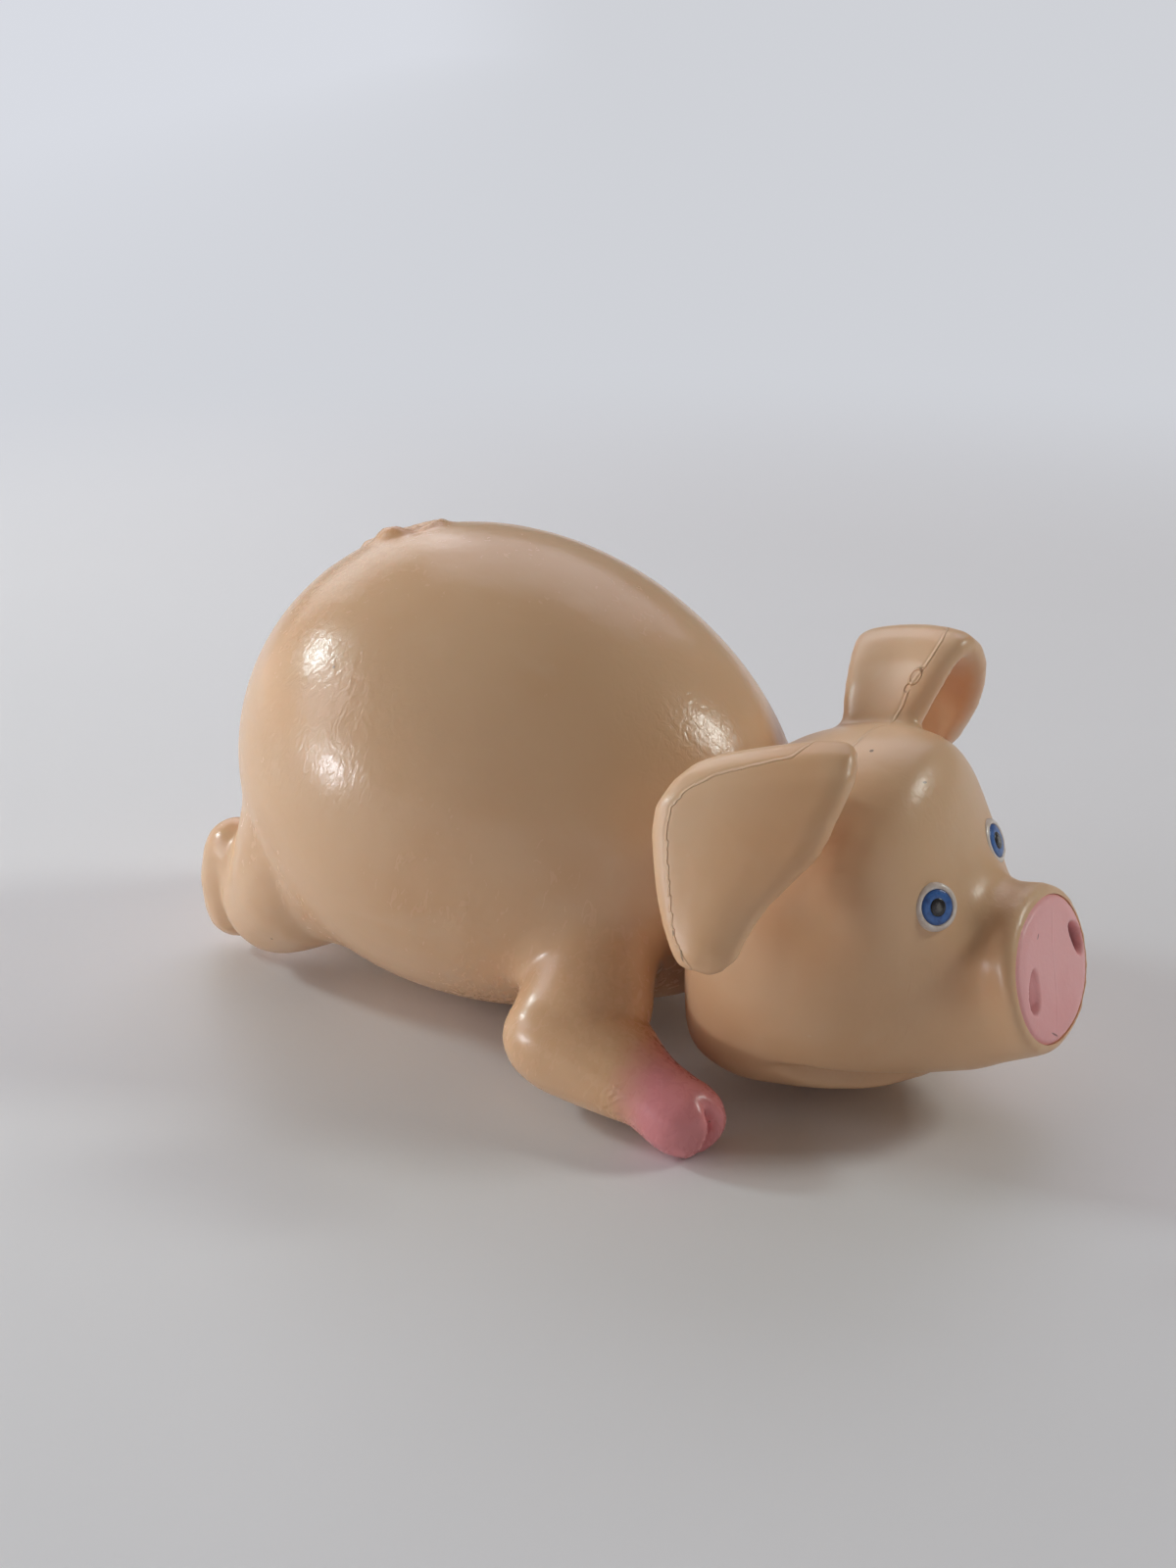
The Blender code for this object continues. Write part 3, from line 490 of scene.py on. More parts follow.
# Body casting
noSeam = 9.0  # millimetres, stored where no parting line is near
bodyLook = {
    "voxel": 0.0007,
    "fine": [  # where only light smoothing goes: centre and two radii, millimetres
        ((44, 34, 8), 12, 20), ((44, -34, 8), 12, 20),
        ((-51, 15, 12), 8, 13), ((-51, -15, 12), 8, 13),
        ((41, 0, 31), 15, 19), ((-25, 0, 6), 9, 11),
    ],
    "tail": [((-27, 0, 76), 12, 16)],  # least smoothing of all
    "tailShare": 0.35,
    "rounds": {"light": 7, "broad": 30, "last": 2},
    "shoulders": [((24, 30, 24), 10, 20), ((24, -30, 24), 10, 20)],
    "haunches": [((x, side * y, z), 9, 18) for side in (1, -1)
                 for x, y, z in ((-34, 29, 34), (-26, 31, 26), (-20, 30, 18), (-42, 22, 26))],
    "fills": {"shoulders": (1, 120), "haunches": (4, 260)},  # rounds and smoothing passes
    "touches": [
        ((20.3, -35.2, 13.0), 7.0, 1.4, True), ((38.0, -26.0, 15.0), 5.0, 1.6, True),  # elbow, inner arm
        ((54.0, -39.2, 3.6), 3.6, -1.0, True),  # outer toe
        ((33.0, 0.0, 8.0), 9.0, 2.5, False),  # chest between the arms
        ((-21.6, -3.6, 75.6), 2.4, 1.0, False), ((-18.0, -3.2, 76.4), 1.3, -0.9, False),  # curl of the tail
        ((-24.8, -3.6, 74.9), 2.4, 0.7, False),
    ],
    "leather": [((x, side * y, z), radius) for side in (1, -1)
                for x, y, z, radius in ((-13, 33, 55, 17.0), (36, 11, 54, 11.0))],  # rump and shoulder
    "blush": (34.5, 49.0),  # the spray fades in along the front leg
    "trotters": (20, 20),  # the front legs lie further out and lower than this
    "toes": {"station": 57.0, "spread": 35.4, "depth": 3.2, "width": 1.0, "length": 7.0, "top": (8.0, 12.0)},
    "ripples": {"centre": (41.2, -39.5, 8.0), "spacing": 0.85, "reach": 3.6, "height": 0.35},
    # painted warm shade: where the front legs meet the body and in the curl of the tail
    "warmShades": [((40, -27, 13), 6.0, 0.8), ((40, 27, 13), 6.0, 0.8), ((-20, -2, 77), 5.0, 1.0)],
}


def legRipples(points):  # the small rings pressed into the near forearm
    look = bodyLook["ripples"]
    distance = np.linalg.norm(points - np.array(look["centre"]), axis=1)
    behind = step(look["centre"][0] - points[:, 0], -1.0, 0.6)
    fade = 1 - step(distance, look["reach"] - 1.0, look["reach"])
    return np.cos(distance * math.tau / look["spacing"]) * fade * behind * look["height"]


def pressToes(piece):  # the rounded notch that parts the trotter's two toes
    look = bodyLook["toes"]
    points = pointsOf(piece)
    place = points * 1000
    press = np.zeros(len(points))
    for side in (1, -1):
        press += bell(place[:, 1] - side * look["spread"], look["width"])
    press *= step(place[:, 0], look["station"] - look["length"], look["station"]) * look["depth"]
    press *= 1 - step(place[:, 2], *look["top"])
    movePoints(piece, points - normalsOf(piece) * (press / 1000)[:, None])


def leatherOf(points, patches):  # where the skin is wrinkled
    return np.max([bell(np.linalg.norm(points - np.array(centre), axis=1), radius)
                   for centre, radius in patches], axis=0)


def warmShadeOf(points, warmShades):  # painted warm shade: where the skin darkens towards amber in hollows and between parts
    return np.max([share * bell(np.linalg.norm(points - np.array(centre), axis=1), radius)
                   for centre, radius, share in warmShades], axis=0)


def makeBody():
    look = bodyLook
    piece = castingCopy("body_shell", "bodySkin")
    applyModifier(piece, "REMESH", mode="VOXEL", voxel_size=look["voxel"], adaptivity=0.0)
    points = pointsOf(piece) * 1000
    weigh(piece, "broad", away(points, look["fine"] + look["tail"]))
    weigh(piece, "light", look["tailShare"] + (1 - look["tailShare"]) * away(points, look["tail"]))
    applyModifier(piece, "SMOOTH", factor=0.5, iterations=look["rounds"]["light"], vertex_group="light")
    applyModifier(piece, "SMOOTH", factor=0.5, iterations=look["rounds"]["broad"], vertex_group="broad")
    for zones, (rounds, passes) in look["fills"].items():
        fillValleys(piece, look[zones], rounds, passes)
    sculpt(piece, Matrix.Identity(4), look["touches"])
    pressToes(piece)
    applyModifier(piece, "SMOOTH", factor=0.5, iterations=look["rounds"]["last"])
    points = pointsOf(piece) * 1000
    outer, upper = look["trotters"]
    front = (np.abs(points[:, 1]) > outer) & (points[:, 2] < upper)
    store(piece, "blush", step(points[:, 0], *look["blush"]) * front)
    store(piece, "warmShade", warmShadeOf(points, look["warmShades"]))
    store(piece, "leather", leatherOf(points, look["leather"]))
    store(piece, "seam", np.full(len(points), noSeam))
    store(piece, "mark", legRipples(points))
    finishSkin(piece, bodyVinyl, "body", "body_shell")


makeBody()
print("body made")

# Head casting
headLook = {
    "voxel": 0.00062,
    "flap": [  # the ear's rear and front edge from root to tip, shares of the three sizes
        ((0.33, 0.29, 0.48), (0.83, 0.29, 0.56)), ((0.26, 0.37, 0.58), (0.86, 0.37, 0.69)),
        ((0.13, 0.52, 0.71), (0.95, 0.42, 0.90)), ((0.03, 0.68, 0.77), (1.03, 0.50, 1.02)),
        ((0.0, 0.79, 0.69), (1.13, 0.61, 0.96)), ((0.07, 0.88, 0.49), (1.13, 0.77, 0.71)),
        ((0.33, 0.96, 0.29), (0.93, 0.92, 0.38)), ((0.55, 1.0, 0.19), (0.72, 0.995, 0.195)),
    ],
    "flapSize": (21.2, 41.5, 35.8),
    "flapSteps": 8,  # the ear's grid has so many steps across, and from row to row
    "flapBow": 0.03,  # how far its middle bulges out and up, as a share of the size
    "flapNear": (8.0, 2.0, 6.0),  # the skin's ear points lie this far out, this high and this near the grid
    "trims": {  # how far each ear's front rim moves along those rows: row and millimetres
        1: ((1, 0.0), (2, -0.3), (3, -1.0), (4, -1.5), (5, -1.7), (6, -1.4), (7, -0.2)),
        -1: ((1, 0.0), (2, 0.4), (3, 1.0), (4, 1.6), (4.5, 0.9), (4.8, 1.1), (5, 0.8), (5.25, -0.4),
             (5.5, -1.5), (5.75, -1.4), (6, -0.8), (6.3, 0.4), (6.6, 0.2), (7, 0.0)),
    },
    "rear": ((3, 0.0), (3.6, 0.5), (4, 1.0), (4.5, 0.6), (5, 0.0)),  # the near ear's rear rim, rearwards
    "dish": 0.3,  # how deep the outer faces are dished, millimetres
    "square": 3.4,  # how square the ears' rims are, 2 being round
    "seam": [  # the mould's parting line up each ear, over its fold and down its rear rim
        (14.8, 12.9, 24.4), (15.2, 14.2, 26.3), (15.2, 15.6, 28.9), (15.8, 16.5, 30.8), (16.5, 17.3, 32.2),
        (16.9, 18.7, 33.9), (17.1, 20.5, 35.3), (16.6, 23.5, 36.4), (15.7, 26.8, 35.1), (11.5, 28.9, 33.2),
        (6.9, 30.7, 30.8), (3.8, 32.65, 28.1), (2.9, 34.2, 25.9), (3.4, 35.9, 23.5), (4.8, 37.8, 20.3),
        (6.8, 39.7, 16.5), (8.5, 41.2, 13.3), (9.7, 42.2, 11.5), (11.6, 43.1, 10.2), (12.9, 43.4, 9.2),
    ],
    "seamStation": 15.0,  # where it crosses the top of the head
    "seamTop": (14, 16),  # which is above the first height and within the second distance of the middle
    "mouth": [  # the near half of the crease between muzzle and jaw, from the front backwards
        (37.0, 0.0, -19.4), (36.3, -6.0, -19.0), (34.5, -11.2, -18.3), (32.2, -14.4, -17.4),
        (29.5, -17.8, -16.6), (26.4, -20.6, -15.9), (23.4, -22.4, -15.4), (19.9, -23.3, -15.4),
        (16.0, -22.7, -17.0),
    ],
    "mouthPress": (1.3, 0.9, 1.0, 2.6),  # groove depth and width, lip swell and its width
    "mouthFade": (14, 24),  # it fades in between these stations
    "creaseFade": (29, 35),  # and its painted shade fades out between these
    "snoutFade": (-12.0, -3.0),  # the muzzle turns with the pad between these depths behind it
    "touches": [
        ((21.0, -24.5, 9.5), 7.0, -1.4, True),  # hollow under the ear
        ((29.5, -18.5, 11.0), 6.0, 0.5, True),  # cheek
        ((40.5, -9.5, 9.0), 3.6, -1.0, True), ((42.3, -12.6, 2.0), 4.2, -0.9, True),  # between eye and snout
        ((8.5, -22.8, -17.5), 5.5, 1.5, True), ((14.5, -21.5, -20.0), 4.5, 1.2, True),  # jowl
        ((43.0, -6.0, -14.5), 5.0, 1.0, True), ((32.0, -7.0, -22.5), 5.0, -0.7, True),  # chin and lower lip
        ((21.5, -19.5, -21.0), 4.5, 0.7, True), ((48.5, -8.0, -10.5), 4.0, 0.6, True),  # under jaw and snout
    ],
    # painted warm shade: under the ears, between eye and snout and in the ears' hollows
    "warmShades": [((x, side * y, z), radius, share) for side in (1, -1) for x, y, z, radius, share in (
        (21, 24, 8, 7.0, 0.35), (42, 12, 3, 5.0, 0.5), (19, 28, 22, 7.5, 1.0))],
    "leather": [((33, -16, -3), 6.0), ((31, -5, 22), 6.0), ((33, 16, -3), 6.0), ((43, 0, 12), 6.0)],
    "crisp": {  # where the broad smoothing ends, millimetres in the head's frame
        "earSide": (12, 17), "earTop": (30, 36), "rim": (45.5, 48.5), "neck": (0.5, 3.0),
    },
    "rounds": {"all": 10, "broad": 55},  # of smoothing
    "plates": {  # half width, half height, low and high face, and squareness, millimetres
        "padFill": (12.4, 10.8, -3.2, 0.0, 2.15), "padSeat": (11.75, 10.4, -2.4, 3.0, 2.1),
        "eyeFill": (3.0, 3.5, -4.0, -0.3), "eyeSeat": (3.25, 3.4, -0.8, 2.0),
    },
}
eyeFrames = {
    "left": axesAt((35.0, 8.5, 13.1), (0.85, 0.10, 0.52)),
    "right": axesAt((34.6, -12.2, 11.9), (0.68, -0.55, 0.47)),
}


def eyeSocket(node):  # the CAD eye's middle, with Z straight out of it
    points = pointsOf(frame["nodes"][node])
    outward = Vector(np.linalg.svd(points - points.mean(axis=0), full_matrices=False)[2][2])
    middle = Vector((points.max(axis=0) + points.min(axis=0)) / 2)
    if outward.dot(middle - headFrame.translation) < 0:
        outward.negate()
    return Matrix.Translation(middle) @ outward.to_track_quat("Z", "Y").to_matrix().to_4x4()


plateSides = 96


def ovalPlate(name, axes, halfWidth, halfHeight, low, high, squareness=2.0):  # millimetres
    bpy.ops.object.select_all(action="DESELECT")
    bpy.ops.mesh.primitive_cylinder_add(vertices=plateSides, radius=1.0, depth=1.0, end_fill_type="TRIFAN")
    plate = bpy.context.object
    plate.name = name
    points = pointsOf(plate)
    reach = np.hypot(points[:, 0], points[:, 1])
    angle = np.arctan2(points[:, 1], points[:, 0])
    across = np.sign(np.cos(angle)) * np.abs(np.cos(angle)) ** (2 / squareness)
    upward = np.sign(np.sin(angle)) * np.abs(np.sin(angle)) ** (2 / squareness)
    shaped = np.stack([across * reach * halfWidth, upward * reach * halfHeight,
                       np.where(points[:, 2] > 0, high, low)], axis=1) / 1000
    movePoints(plate, shaped)
    plate.matrix_world = axes
    takeUp(plate)
    bpy.ops.object.transform_apply(location=True, rotation=True, scale=True)
    return plate


def flapGrid(side):  # the middle of an ear's thickness, as a fine grid in the head's frame
    size = np.array(headLook["flapSize"])
    rows = np.array(headLook["flap"]) * size
    rows[:, :, 1] *= side
    steps = headLook["flapSteps"]
    grid = []
    for index in range(steps * (len(rows) - 1) + 1):
        low = min(index // steps, len(rows) - 2)
        share = index / steps - low
        a, b, c, d = rows[max(low - 1, 0)], rows[low], rows[low + 1], rows[min(low + 2, len(rows) - 1)]
        bend = 2 * a - 5 * b + 4 * c - d
        rear, front = b + share * (c - a + share * (bend + share * (3 * b - a - 3 * c + d))) / 2
        across = np.linspace(0, 1, steps + 1)[:, None]
        bow = headLook["flapBow"] * np.sin(math.pi * across) * (0, side * size[1], size[2])
        grid.append(rear + (front - rear) * across + bow)
    return np.array(grid)


def onFlap(local, side):  # points near an ear: row, share across, height, distance off its edge, offset
    grid = flapGrid(side)
    steps = headLook["flapSteps"]
    corners = [Vector(point) for row in grid for point in row]
    faces = [(first, first + 1, first + steps + 2, first + steps + 1)
             for row in range(len(grid) - 1) for first in range(row * (steps + 1), row * (steps + 1) + steps)]
    tree = BVHTree.FromPolygons(corners, faces)
    outer, lower, farthest = headLook["flapNear"]
    near = np.nonzero((local[:, 1] * side > outer) & (local[:, 2] > lower))[0]
    kept, found = [], []
    for index in near:
        point = Vector(local[index])
        place, normal, face, distance = tree.find_nearest(point, farthest)
        if place is None:
            continue
        base, across, along = [corners[faces[face][corner]] for corner in (0, 1, 3)]
        run, climb = across - base, along - base
        column = face % steps + min(max((place - base).dot(run) / run.length_squared, 0), 1)
        row = face // steps + min(max((place - base).dot(climb) / climb.length_squared, 0), 1)
        offset = point - place
        height = offset.dot(normal) * side
        kept.append(index)
        beyond = math.sqrt(max(distance ** 2 - height ** 2, 0))
        found.append((row / steps, column / steps, height, beyond, *offset))
    return np.array(kept), np.array(found).T


def shapeEars(piece):  # squares the rims, trims them to the photo's line and dishes the outer faces
    links = linksOf(piece)
    points = pointsOf(piece)
    local = inFrame(points, headFrame)
    shift = np.zeros_like(points)
    for side, trims in headLook["trims"].items():
        near, found = onFlap(local, side)
        row, across, height, beyond = found[:4]
        grid = flapGrid(side)
        chords = grid[:, -1] - grid[:, 0]
        chords = chords / np.linalg.norm(chords, axis=1)[:, None]
        chord = chords[np.clip(np.rint(row * headLook["flapSteps"]).astype(int), 0, len(chords) - 1)]
        trim = np.interp(row, *zip(*trims)) * step(across, 0.35, 1.0)  # fullest at the front rim
        if side < 0:
            trim -= np.interp(row, *zip(*headLook["rear"])) * (1 - step(across, 0.0, 0.5))
        inside = step(across, 0.05, 0.3) * (1 - step(across, 0.7, 0.95)) * step(row, 3.4, 4.4)
        dish = inside * (1 - step(row, 5.8, 6.8)) * (height > 0.8) * headLook["dish"]
        power = headLook["square"]
        reach = np.maximum(np.hypot(height, beyond), 0.01)
        squared = ((np.abs(height) / reach) ** power + (beyond / reach) ** power) ** (-1 / power)
        squared = (squared - 1) * (beyond > 0.05) * step(row, 1.0, 2.0)
        turn = np.array(headFrame.to_3x3()).T
        shift[near] += chord @ turn * trim[:, None] + found[4:].T @ turn * squared[:, None]
        shift[near] -= normalsOf(piece)[near] * dish[:, None]
    for _ in range(5):
        shift = (shift + averaged(shift, links)) / 2
    movePoints(piece, points + shift / 1000)


def headSeam(local):  # signed distance to the mould's parting line, millimetres
    lowest, widest = headLook["seamTop"]
    level = local[:, 0] - headLook["seamStation"]
    level = np.where((local[:, 2] > lowest) & (np.abs(local[:, 1]) < widest), level, noSeam)
    for side in (1, -1):
        near, found = onFlap(local, side)
        row, across, height, beyond = found[:4]
        share = (1 - step(np.hypot(height, beyond), 3.4, 4.6)) * step(row, 0.3, 0.8)
        line = np.array(headLook["seam"]) * (1, side, 1)
        distance, place = nearLine(local[near], line)
        behind = np.where(local[near][:, 0] < place[:, 0], -1.0, 1.0)
        level[near] = level[near] * (1 - share) + distance * behind * share
    return level


def mouthLine():  # the crease from the near corner of the jaw round to the far one
    line = np.array(headLook["mouth"])
    return np.concatenate([line[::-1], (line * (1, -1, 1))[1:]])


def pressMouth(piece):
    depth, width, swell, swellWidth = headLook["mouthPress"]
    points = pointsOf(piece)
    local = inFrame(points, headFrame)
    distance, place = nearLine(local, mouthLine())
    under = place[:, 2] - local[:, 2]
    press = swell * step(under, 0.2, 1.4) * bell(distance - 2.4, swellWidth) - depth * bell(distance, width)
    press = press * step(local[:, 0], *headLook["mouthFade"]) * (distance < 8)
    movePoints(piece, points + normalsOf(piece) * (press / 1000)[:, None])


def creaseShadeOf(local):  # painted shade along the mouth's crease
    near = bell(nearLine(local, mouthLine())[0], 1.0)
    fadeIn = step(local[:, 0], *headLook["mouthFade"])
    return near * fadeIn * (1 - step(local[:, 0], *headLook["creaseFade"]))


def turnSnout(piece):  # brings the muzzle's end to the pad's plane
    points = pointsOf(piece)
    local = inFrame(points, snoutFrame)
    moved = local @ np.array(snoutTurn)[:3, :3].T + np.array(snoutTurn)[:3, 3] * 1000
    share = step(local[:, 2], *headLook["snoutFade"])[:, None]
    shift = (moved - local) * share / 1000
    movePoints(piece, points + shift @ np.array(snoutFrame.to_3x3()).T)


def headSoftness(local):  # how much of the broad smoothing each point takes
    crisp = headLook["crisp"]
    sideways = np.abs(local[:, 1])
    ears = step(sideways, *crisp["earSide"]) * step(local[:, 2] + 0.9 * sideways, *crisp["earTop"])
    rim = step(local[:, 0] + 0.4 * local[:, 2], *crisp["rim"])
    neck = 1 - step(local[:, 0], *crisp["neck"])
    return (1 - ears) * (1 - 0.7 * rim) * (1 - neck)


def makeHead():
    look = headLook
    plates = look["plates"]
    piece = castingCopy("head_shell", "headSkin")
    combine(piece, ovalPlate("padFill", snoutFrame, *plates["padFill"]), "UNION")
    for side in ("left", "right"):
        combine(piece, ovalPlate("eyeFill", eyeSocket(side + "_eye_iris"), *plates["eyeFill"]), "UNION")
    applyModifier(piece, "REMESH", mode="VOXEL", voxel_size=look["voxel"], adaptivity=0.0)
    weigh(piece, "broad", headSoftness(inFrame(pointsOf(piece), headFrame)))
    applyModifier(piece, "SMOOTH", factor=0.5, iterations=look["rounds"]["all"])
    applyModifier(piece, "SMOOTH", factor=0.5, iterations=look["rounds"]["broad"], vertex_group="broad")
    shapeEars(piece)
    sculpt(piece, headFrame, look["touches"])
    pressMouth(piece)
    turnSnout(piece)
    combine(piece, ovalPlate("padSeat", padFrame, *plates["padSeat"]), "DIFFERENCE")
    for axes in eyeFrames.values():
        combine(piece, ovalPlate("eyeSeat", axes, *plates["eyeSeat"]), "DIFFERENCE")
    local = inFrame(pointsOf(piece), headFrame)
    store(piece, "seam", headSeam(local))
    store(piece, "mark", np.zeros(len(local)))
    store(piece, "crease", creaseShadeOf(local))
    store(piece, "leather", leatherOf(local, look["leather"]))
    store(piece, "warmShade", warmShadeOf(local, look["warmShades"]))
    finishSkin(piece, headVinyl, "head", "head_shell")


makeHead()
print("head made")

# Snout pad
snoutLook = {
    "voxel": 0.00026,
    "nostril": {"spread": 8.2, "middle": 0.6, "rise": 0.3, "tilt": 0.05, "lean": 0.26, "halfWidth": 2.0,
                "halfHeight": 3.2, "depth": 2.0, "bend": 0.25},
    "rounds": 5,  # of smoothing
    "fill": (11.2, 8.5, -1.6, 0.4),  # a plate over the CAD pad's own nostrils
    "face": (11.7, 10.35),  # half width and half height
    "grow": (0.982, 1.004, 1.0),  # from the CAD pad to the rim of its seat
    "droop": 0.3,  # how far its edge curves back
}


def makePad():
    look = snoutLook["nostril"]
    piece = castingCopy("snout_pad", "snoutPad")
    combine(piece, ovalPlate("nostrilFill", snoutFrame, *snoutLook["fill"]), "UNION")
    applyModifier(piece, "REMESH", mode="VOXEL", voxel_size=snoutLook["voxel"], adaptivity=0.0)
    applyModifier(piece, "SMOOTH", factor=0.5, iterations=snoutLook["rounds"])
    local = inFrame(pointsOf(piece), snoutFrame) * snoutLook["grow"]
    turn = np.array(padFrame.to_3x3())
    points = local / 1000 @ turn.T + np.array(padFrame.translation)  # set in the muzzle's new plane
    upward = local[:, 1] - look["rise"] - look["tilt"] * local[:, 0]
    rise = upward / look["halfHeight"]
    across = np.abs(local[:, 0] - look["middle"]) - look["spread"] + look["lean"] * upward
    across = across / look["halfWidth"] + look["bend"] * rise ** 2  # a crescent, steep on its outer side
    press = look["depth"] * (1 - step(np.hypot(across, rise), 0.72, 1.02)) * step(across, -1.3, 0.6)
    # how much painted shade each point of the nostrils takes, most on their outer walls
    store(piece, "pit", press / look["depth"] * step(across, -0.6, 0.5))
    edge = np.hypot(local[:, 0] / snoutLook["face"][0], local[:, 1] / snoutLook["face"][1])
    press = (press + snoutLook["droop"] * step(edge, 0.8, 1.0)) * step(local[:, 2], -0.6, 0.1)
    movePoints(piece, points - turn[:, 2] * (press / 1000)[:, None])
    store(piece, "seam", local[:, 0] + 0.2 - 0.4 * local[:, 1] + 0.25 * np.sin(local[:, 1] * 0.5))
    piece.data.materials.append(pinkVinyl)
    takeUp(piece)
    bpy.ops.object.shade_smooth()
    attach(piece, "head")
    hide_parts("snout_pad")


makePad()
print("snout pad made")

# Eyes
eyeLook = {
    "sides": 64,
    "pieces": [  # name, half sizes, rings from edge to middle as share and height, material, slot
        ("white", (3.35, 3.5), [
            (1.0, -1.1), (1.0, -0.35), (0.985, -0.05), (0.95, 0.12), (0.89, 0.26), (0.82, 0.32), (0.76, 0.3),
            (0.728, 0.24), (0.728, -0.35)], eyeWhite, "eye_white"),
        ("iris", (2.42, 2.53), [
            (0.97, -0.3), (0.995, 0.1), (1.0, 0.2), (0.96, 0.28), (0.86, 0.37), (0.7, 0.45), (0.54, 0.5),
            (0.5, 0.4)], eyeBlue, "eye_blue"),
        ("pupil", (1.21, 1.31), [
            (0.97, 0.35), (1.0, 0.46), (0.96, 0.54), (0.82, 0.6), (0.55, 0.66), (0.28, 0.68)],
         eyeBlack, "eye_black"),
    ],
}


def ringPlate(name, axes, halfWidth, halfHeight, rings):  # a turned oval button, made ring by ring
    bpy.ops.object.select_all(action="DESELECT")
    bpy.ops.mesh.primitive_circle_add(vertices=eyeLook["sides"], radius=1.0, fill_type="NGON")
    piece = bpy.context.object
    piece.name = name
    bpy.ops.object.mode_set(mode="EDIT")
    bpy.ops.mesh.select_all(action="SELECT")
    bpy.ops.transform.translate(value=(0, 0, rings[0][1]))
    bpy.ops.transform.resize(value=(rings[0][0],) * 2 + (1,))
    for (before, low), (share, high) in zip(rings, rings[1:]):
        bpy.ops.mesh.extrude_region_move(TRANSFORM_OT_translate={"value": (0, 0, high - low)})
        bpy.ops.transform.resize(value=(share / before,) * 2 + (1,))
    bpy.ops.mesh.select_all(action="SELECT")
    bpy.ops.transform.resize(value=(halfWidth / 1000, halfHeight / 1000, 0.001), center_override=(0, 0, 0))
    bpy.ops.mesh.normals_make_consistent(inside=False)
    bpy.ops.object.mode_set(mode="OBJECT")
    piece.matrix_world = axes
    takeUp(piece)
    bpy.ops.object.transform_apply(location=True, rotation=True, scale=True)
    applyModifier(piece, "SUBSURF", levels=1, render_levels=1)
    local = inFrame(pointsOf(piece), axes)
    store(piece, "reach", np.hypot(local[:, 0] / halfWidth, local[:, 1] / halfHeight))
    bpy.ops.object.shade_smooth_by_angle(angle=smoothAngle)
    return piece


for side, axes in eyeFrames.items():
    for part, halfSizes, rings, material, slot in eyeLook["pieces"]:
        piece = ringPlate(side + "Eye" + part.capitalize(), axes, *halfSizes, rings)
        piece.data.materials.append(material)
        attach(piece, "head")
        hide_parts(side + "_eye_" + part)
print("eyes made")

# Carried-over pieces
carried = {"squeaker_housing": barrelPlastic, "squeaker_cap": barrelPlastic, "squeaker_reed": reedPlastic}
for nodeName, material in carried.items():
    node = frame["nodes"][nodeName]
    node.data.materials.clear()
    node.data.materials.append(material)
print("finishes on the carried pieces")

# Stage, lamps and camera
cameraLook = {"place": (0.1627, -0.2500, 0.1528), "azimuth": 31.0, "elevation": 21.5,
              "lens": 60.0, "sensor": 36.0, "nearest": 0.01}
stageLook = {
    "size": 80.0,
    "wallDistance": 8.0,  # along the camera's view
    "floor": (0.84, 0.84, 0.85, 1),
    "floorShade": 0.97,
    "floorClouds": {"scale": 9, "detail": 3.0},
    "floorGrain": {"scale": 500, "detail": 3.0},
    "floorRelief": 0.00004,
    "floorRoughness": 0.5,
    "dust": (0.12, 0.11, 0.10, 1),
    "dustShare": 0.7,
    "dustSpecks": (38, 0.02, 0.16),
    "far": (0.625, 0.64, 0.68, 1),
    "paintedGlow": (0.69, 0.71, 0.765, 1),  # painted light: the far floor brighter towards the left
    "glowAcross": (-0.75, 0.1),  # from the left it fades to none between these
    "glowAway": (9.0, 30.0),  # and far off between these
    "reach": (0.28, 0.62),  # between these the lit floor passes over to the far colour
    "air": (1.0, 0.9, 0.8, 1),
    "airStrength": 0.135,
    "aim": (0.01, 0, 0.03),
    "lamps": [  # place, width, height, power in red, green and blue
        ((-0.90, -0.20, 0.52), 0.15, 0.13, (2.3, 2.7, 2.8)),
        ((-0.60, -0.66, 0.07), 0.09, 0.05, (1.0, 1.05, 1.15)),
        ((-1.0, -0.1, 0.16), 0.9, 0.3, (0.8, 0.6, 0.5)),
        ((-0.85, 0.55, 0.5), 0.7, 0.5, (1.6, 1.6, 1.65)),
        ((1.1, 0.7, 0.9), 0.30, 0.26, (5.8, 6.1, 5.8)),
        ((-0.25, 0.75, 0.85), 1.0, 0.8, (2.8, 2.7, 3.1)),
        ((-1.1, -0.7, 0.6), 0.6, 0.5, (2.8, 2.65, 2.85)),
        ((-1.0, -0.9, 0.18), 0.5, 0.3, (1.8, 1.85, 1.9)),
        ((0.85, -0.35, 0.16), 0.6, 0.4, (0.3, 0.28, 0.32)),
    ],
}


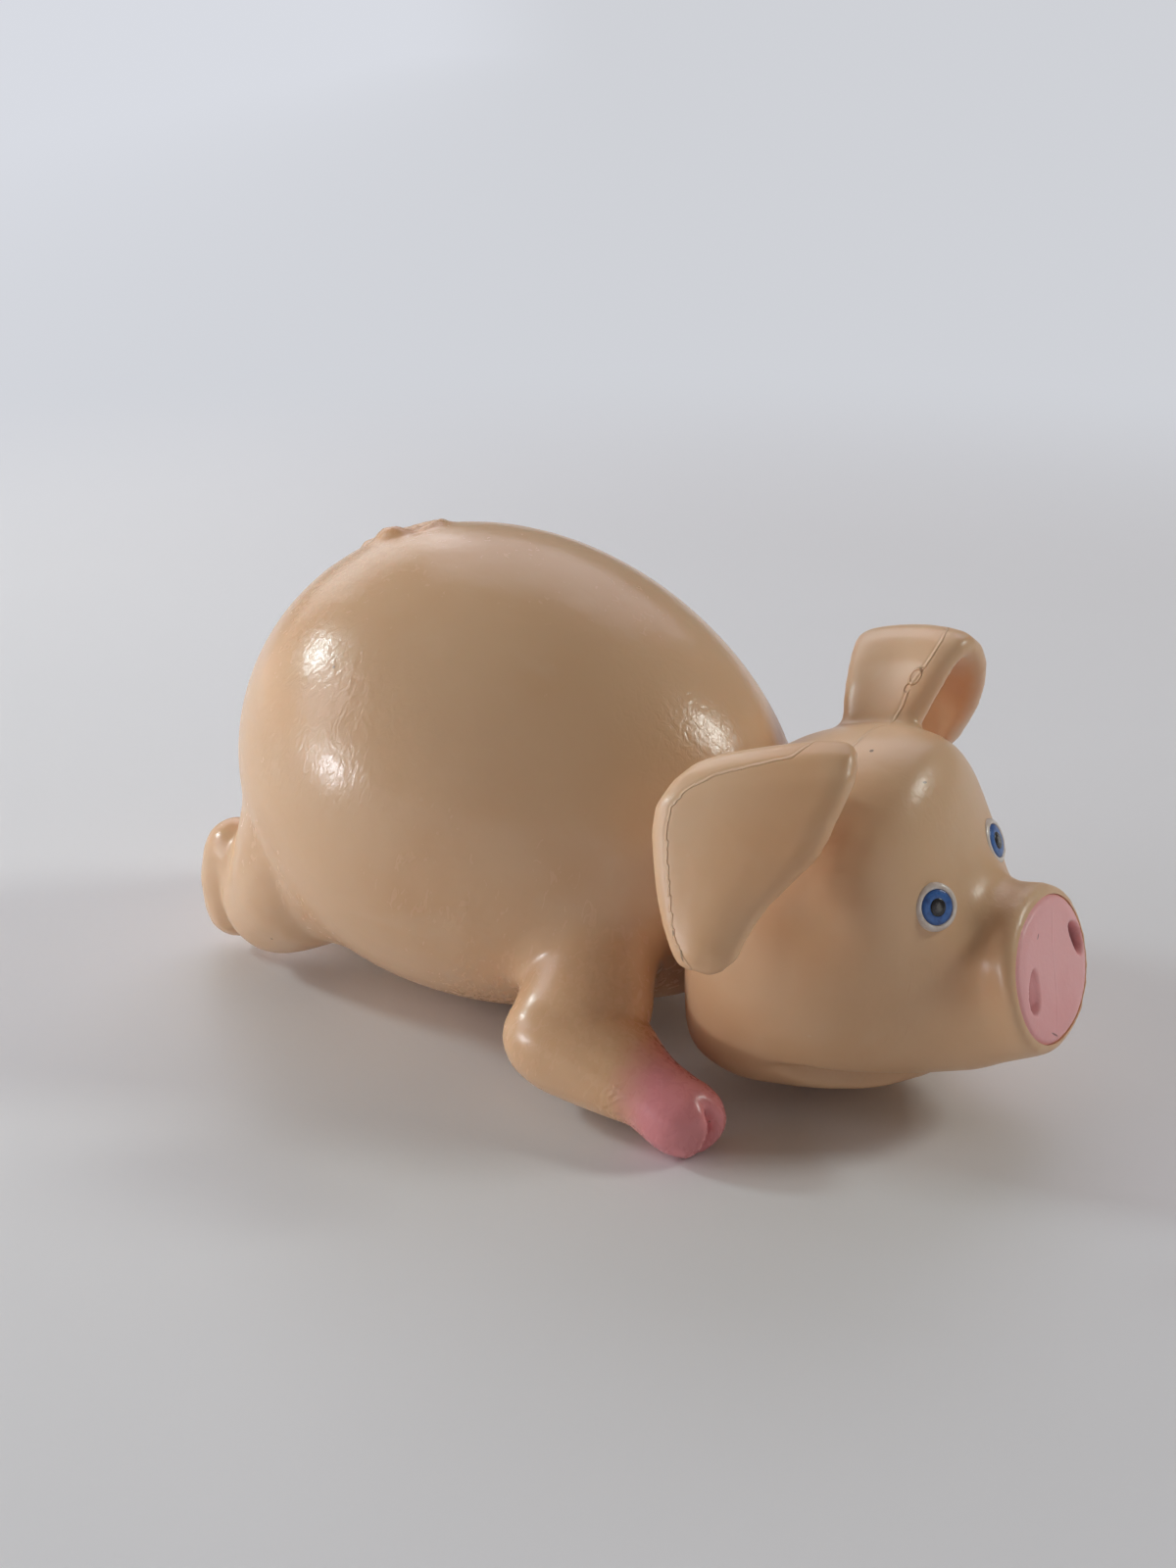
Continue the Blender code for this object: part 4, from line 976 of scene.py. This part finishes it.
def floorPaint():  # lit near the toy, and beyond it a glowing far colour with painted light on its left, for camera and glossy rays only
    look = stageLook
    turn = math.radians(cameraLook["azimuth"])
    paint = Paint("floorPaint", Roughness=look["floorRoughness"])
    shade = tuple(channel * look["floorShade"] for channel in look["floor"][:3]) + (1,)
    colour = paint.mix(paint.noise(**look["floorClouds"]), look["floor"], shade)
    dust = paint.specks(*look["dustSpecks"])
    paint.into("Base Color", paint.mix(dust * look["dustShare"], colour, look["dust"]))
    paint.into("Normal", paint.bump(paint.noise(**look["floorGrain"]), look["floorRelief"]))
    distance = paint.length(paint.place)
    rightward = paint.node("ShaderNodeVectorMath", {"operation": "DOT_PRODUCT"},
                           {0: paint.place, 1: (math.cos(turn), math.sin(turn), 0)}, "Value")
    # painted light: the far floor glows brighter towards the left, fading off with distance
    leftward = 1 - paint.ramp(rightward, *look["glowAcross"])
    leftward = leftward * (1 - paint.ramp(distance, *look["glowAway"]))
    distant = paint.mix(leftward, look["far"], look["paintedGlow"])
    eye = paint.node("ShaderNodeLightPath", output="Is Camera Ray")
    gloss = paint.node("ShaderNodeLightPath", output="Is Glossy Ray")
    paintedGlow = paint.node("ShaderNodeEmission", {}, {"Color": distant})
    lit = Sock(paint, paint.shader.outputs[0])
    share = paint.ramp(distance, *look["reach"]) * (eye + gloss)
    mixed = paint.node("ShaderNodeMixShader", {}, {0: share, 1: lit, 2: paintedGlow})
    paint.tree.links.new(mixed.output, paint.tree.nodes["Material Output"].inputs["Surface"])
    return paint.material


def makeFloor():
    look = stageLook
    turn = math.radians(cameraLook["azimuth"])
    material = floorPaint()
    bpy.ops.object.select_all(action="DESELECT")
    bpy.ops.mesh.primitive_plane_add(size=look["size"], location=(0, 0, 0))
    floor = bpy.context.object
    floor.name = "floor"
    floor.data.materials.append(material)
    behind = (-look["wallDistance"] * math.sin(turn), look["wallDistance"] * math.cos(turn), 0)
    bpy.ops.mesh.primitive_plane_add(size=look["size"], location=behind)
    wall = bpy.context.object  # the floor's own colour carried on past the horizon
    wall.name = "wall"
    bpy.ops.transform.rotate(value=math.pi / 2, orient_axis="X")
    bpy.ops.transform.rotate(value=-turn, orient_axis="Z")
    bpy.ops.object.transform_apply(location=True, rotation=True, scale=True)
    wall.data.materials.append(material)
    wall.visible_glossy = False
    wall.visible_diffuse = False
    wall.visible_shadow = False


def makeLamps():
    aim = Vector(stageLook["aim"])
    for place, width, height, powers in stageLook["lamps"]:
        bpy.ops.object.light_add(type="AREA", location=place)
        lamp = bpy.context.object
        lamp.data.shape = "RECTANGLE"
        lamp.data.size = width
        lamp.data.size_y = height
        lamp.data.energy = max(powers)
        lamp.data.color = [power / max(powers) for power in powers]
        lamp.rotation_euler = (aim - Vector(place)).to_track_quat("-Z", "Y").to_euler()


def makeAir():  # soft warm light from all round, and the far colour where the camera sees it
    look = stageLook
    world = bpy.data.worlds.new("studioAir")
    world.use_nodes = True
    tree = world.node_tree
    air = tree.nodes["Background"]
    air.inputs["Color"].default_value = look["air"]
    air.inputs["Strength"].default_value = look["airStrength"]
    seen = tree.nodes.new("ShaderNodeBackground")
    seen.inputs["Color"].default_value = look["far"]
    path = tree.nodes.new("ShaderNodeLightPath")
    blend = tree.nodes.new("ShaderNodeMixShader")
    tree.links.new(path.outputs["Is Camera Ray"], blend.inputs[0])
    tree.links.new(air.outputs[0], blend.inputs[1])
    tree.links.new(seen.outputs[0], blend.inputs[2])
    tree.links.new(blend.outputs[0], tree.nodes["World Output"].inputs["Surface"])
    bpy.context.scene.world = world
    bpy.context.scene.view_settings.view_transform = "Standard"


def makeCamera():
    look = cameraLook
    camera = bpy.data.objects.new("camera", bpy.data.cameras.new("camera"))
    bpy.context.scene.collection.objects.link(camera)
    camera.data.sensor_fit = "HORIZONTAL"
    camera.data.sensor_width = look["sensor"]
    camera.data.lens = look["lens"]
    camera.data.clip_start = look["nearest"]
    camera.location = look["place"]
    camera.rotation_euler = (math.radians(90 - look["elevation"]), 0, math.radians(look["azimuth"]))
    bpy.context.scene.camera = camera


makeFloor()
makeLamps()
makeAir()
makeCamera()
print("stage, lamps and camera set")
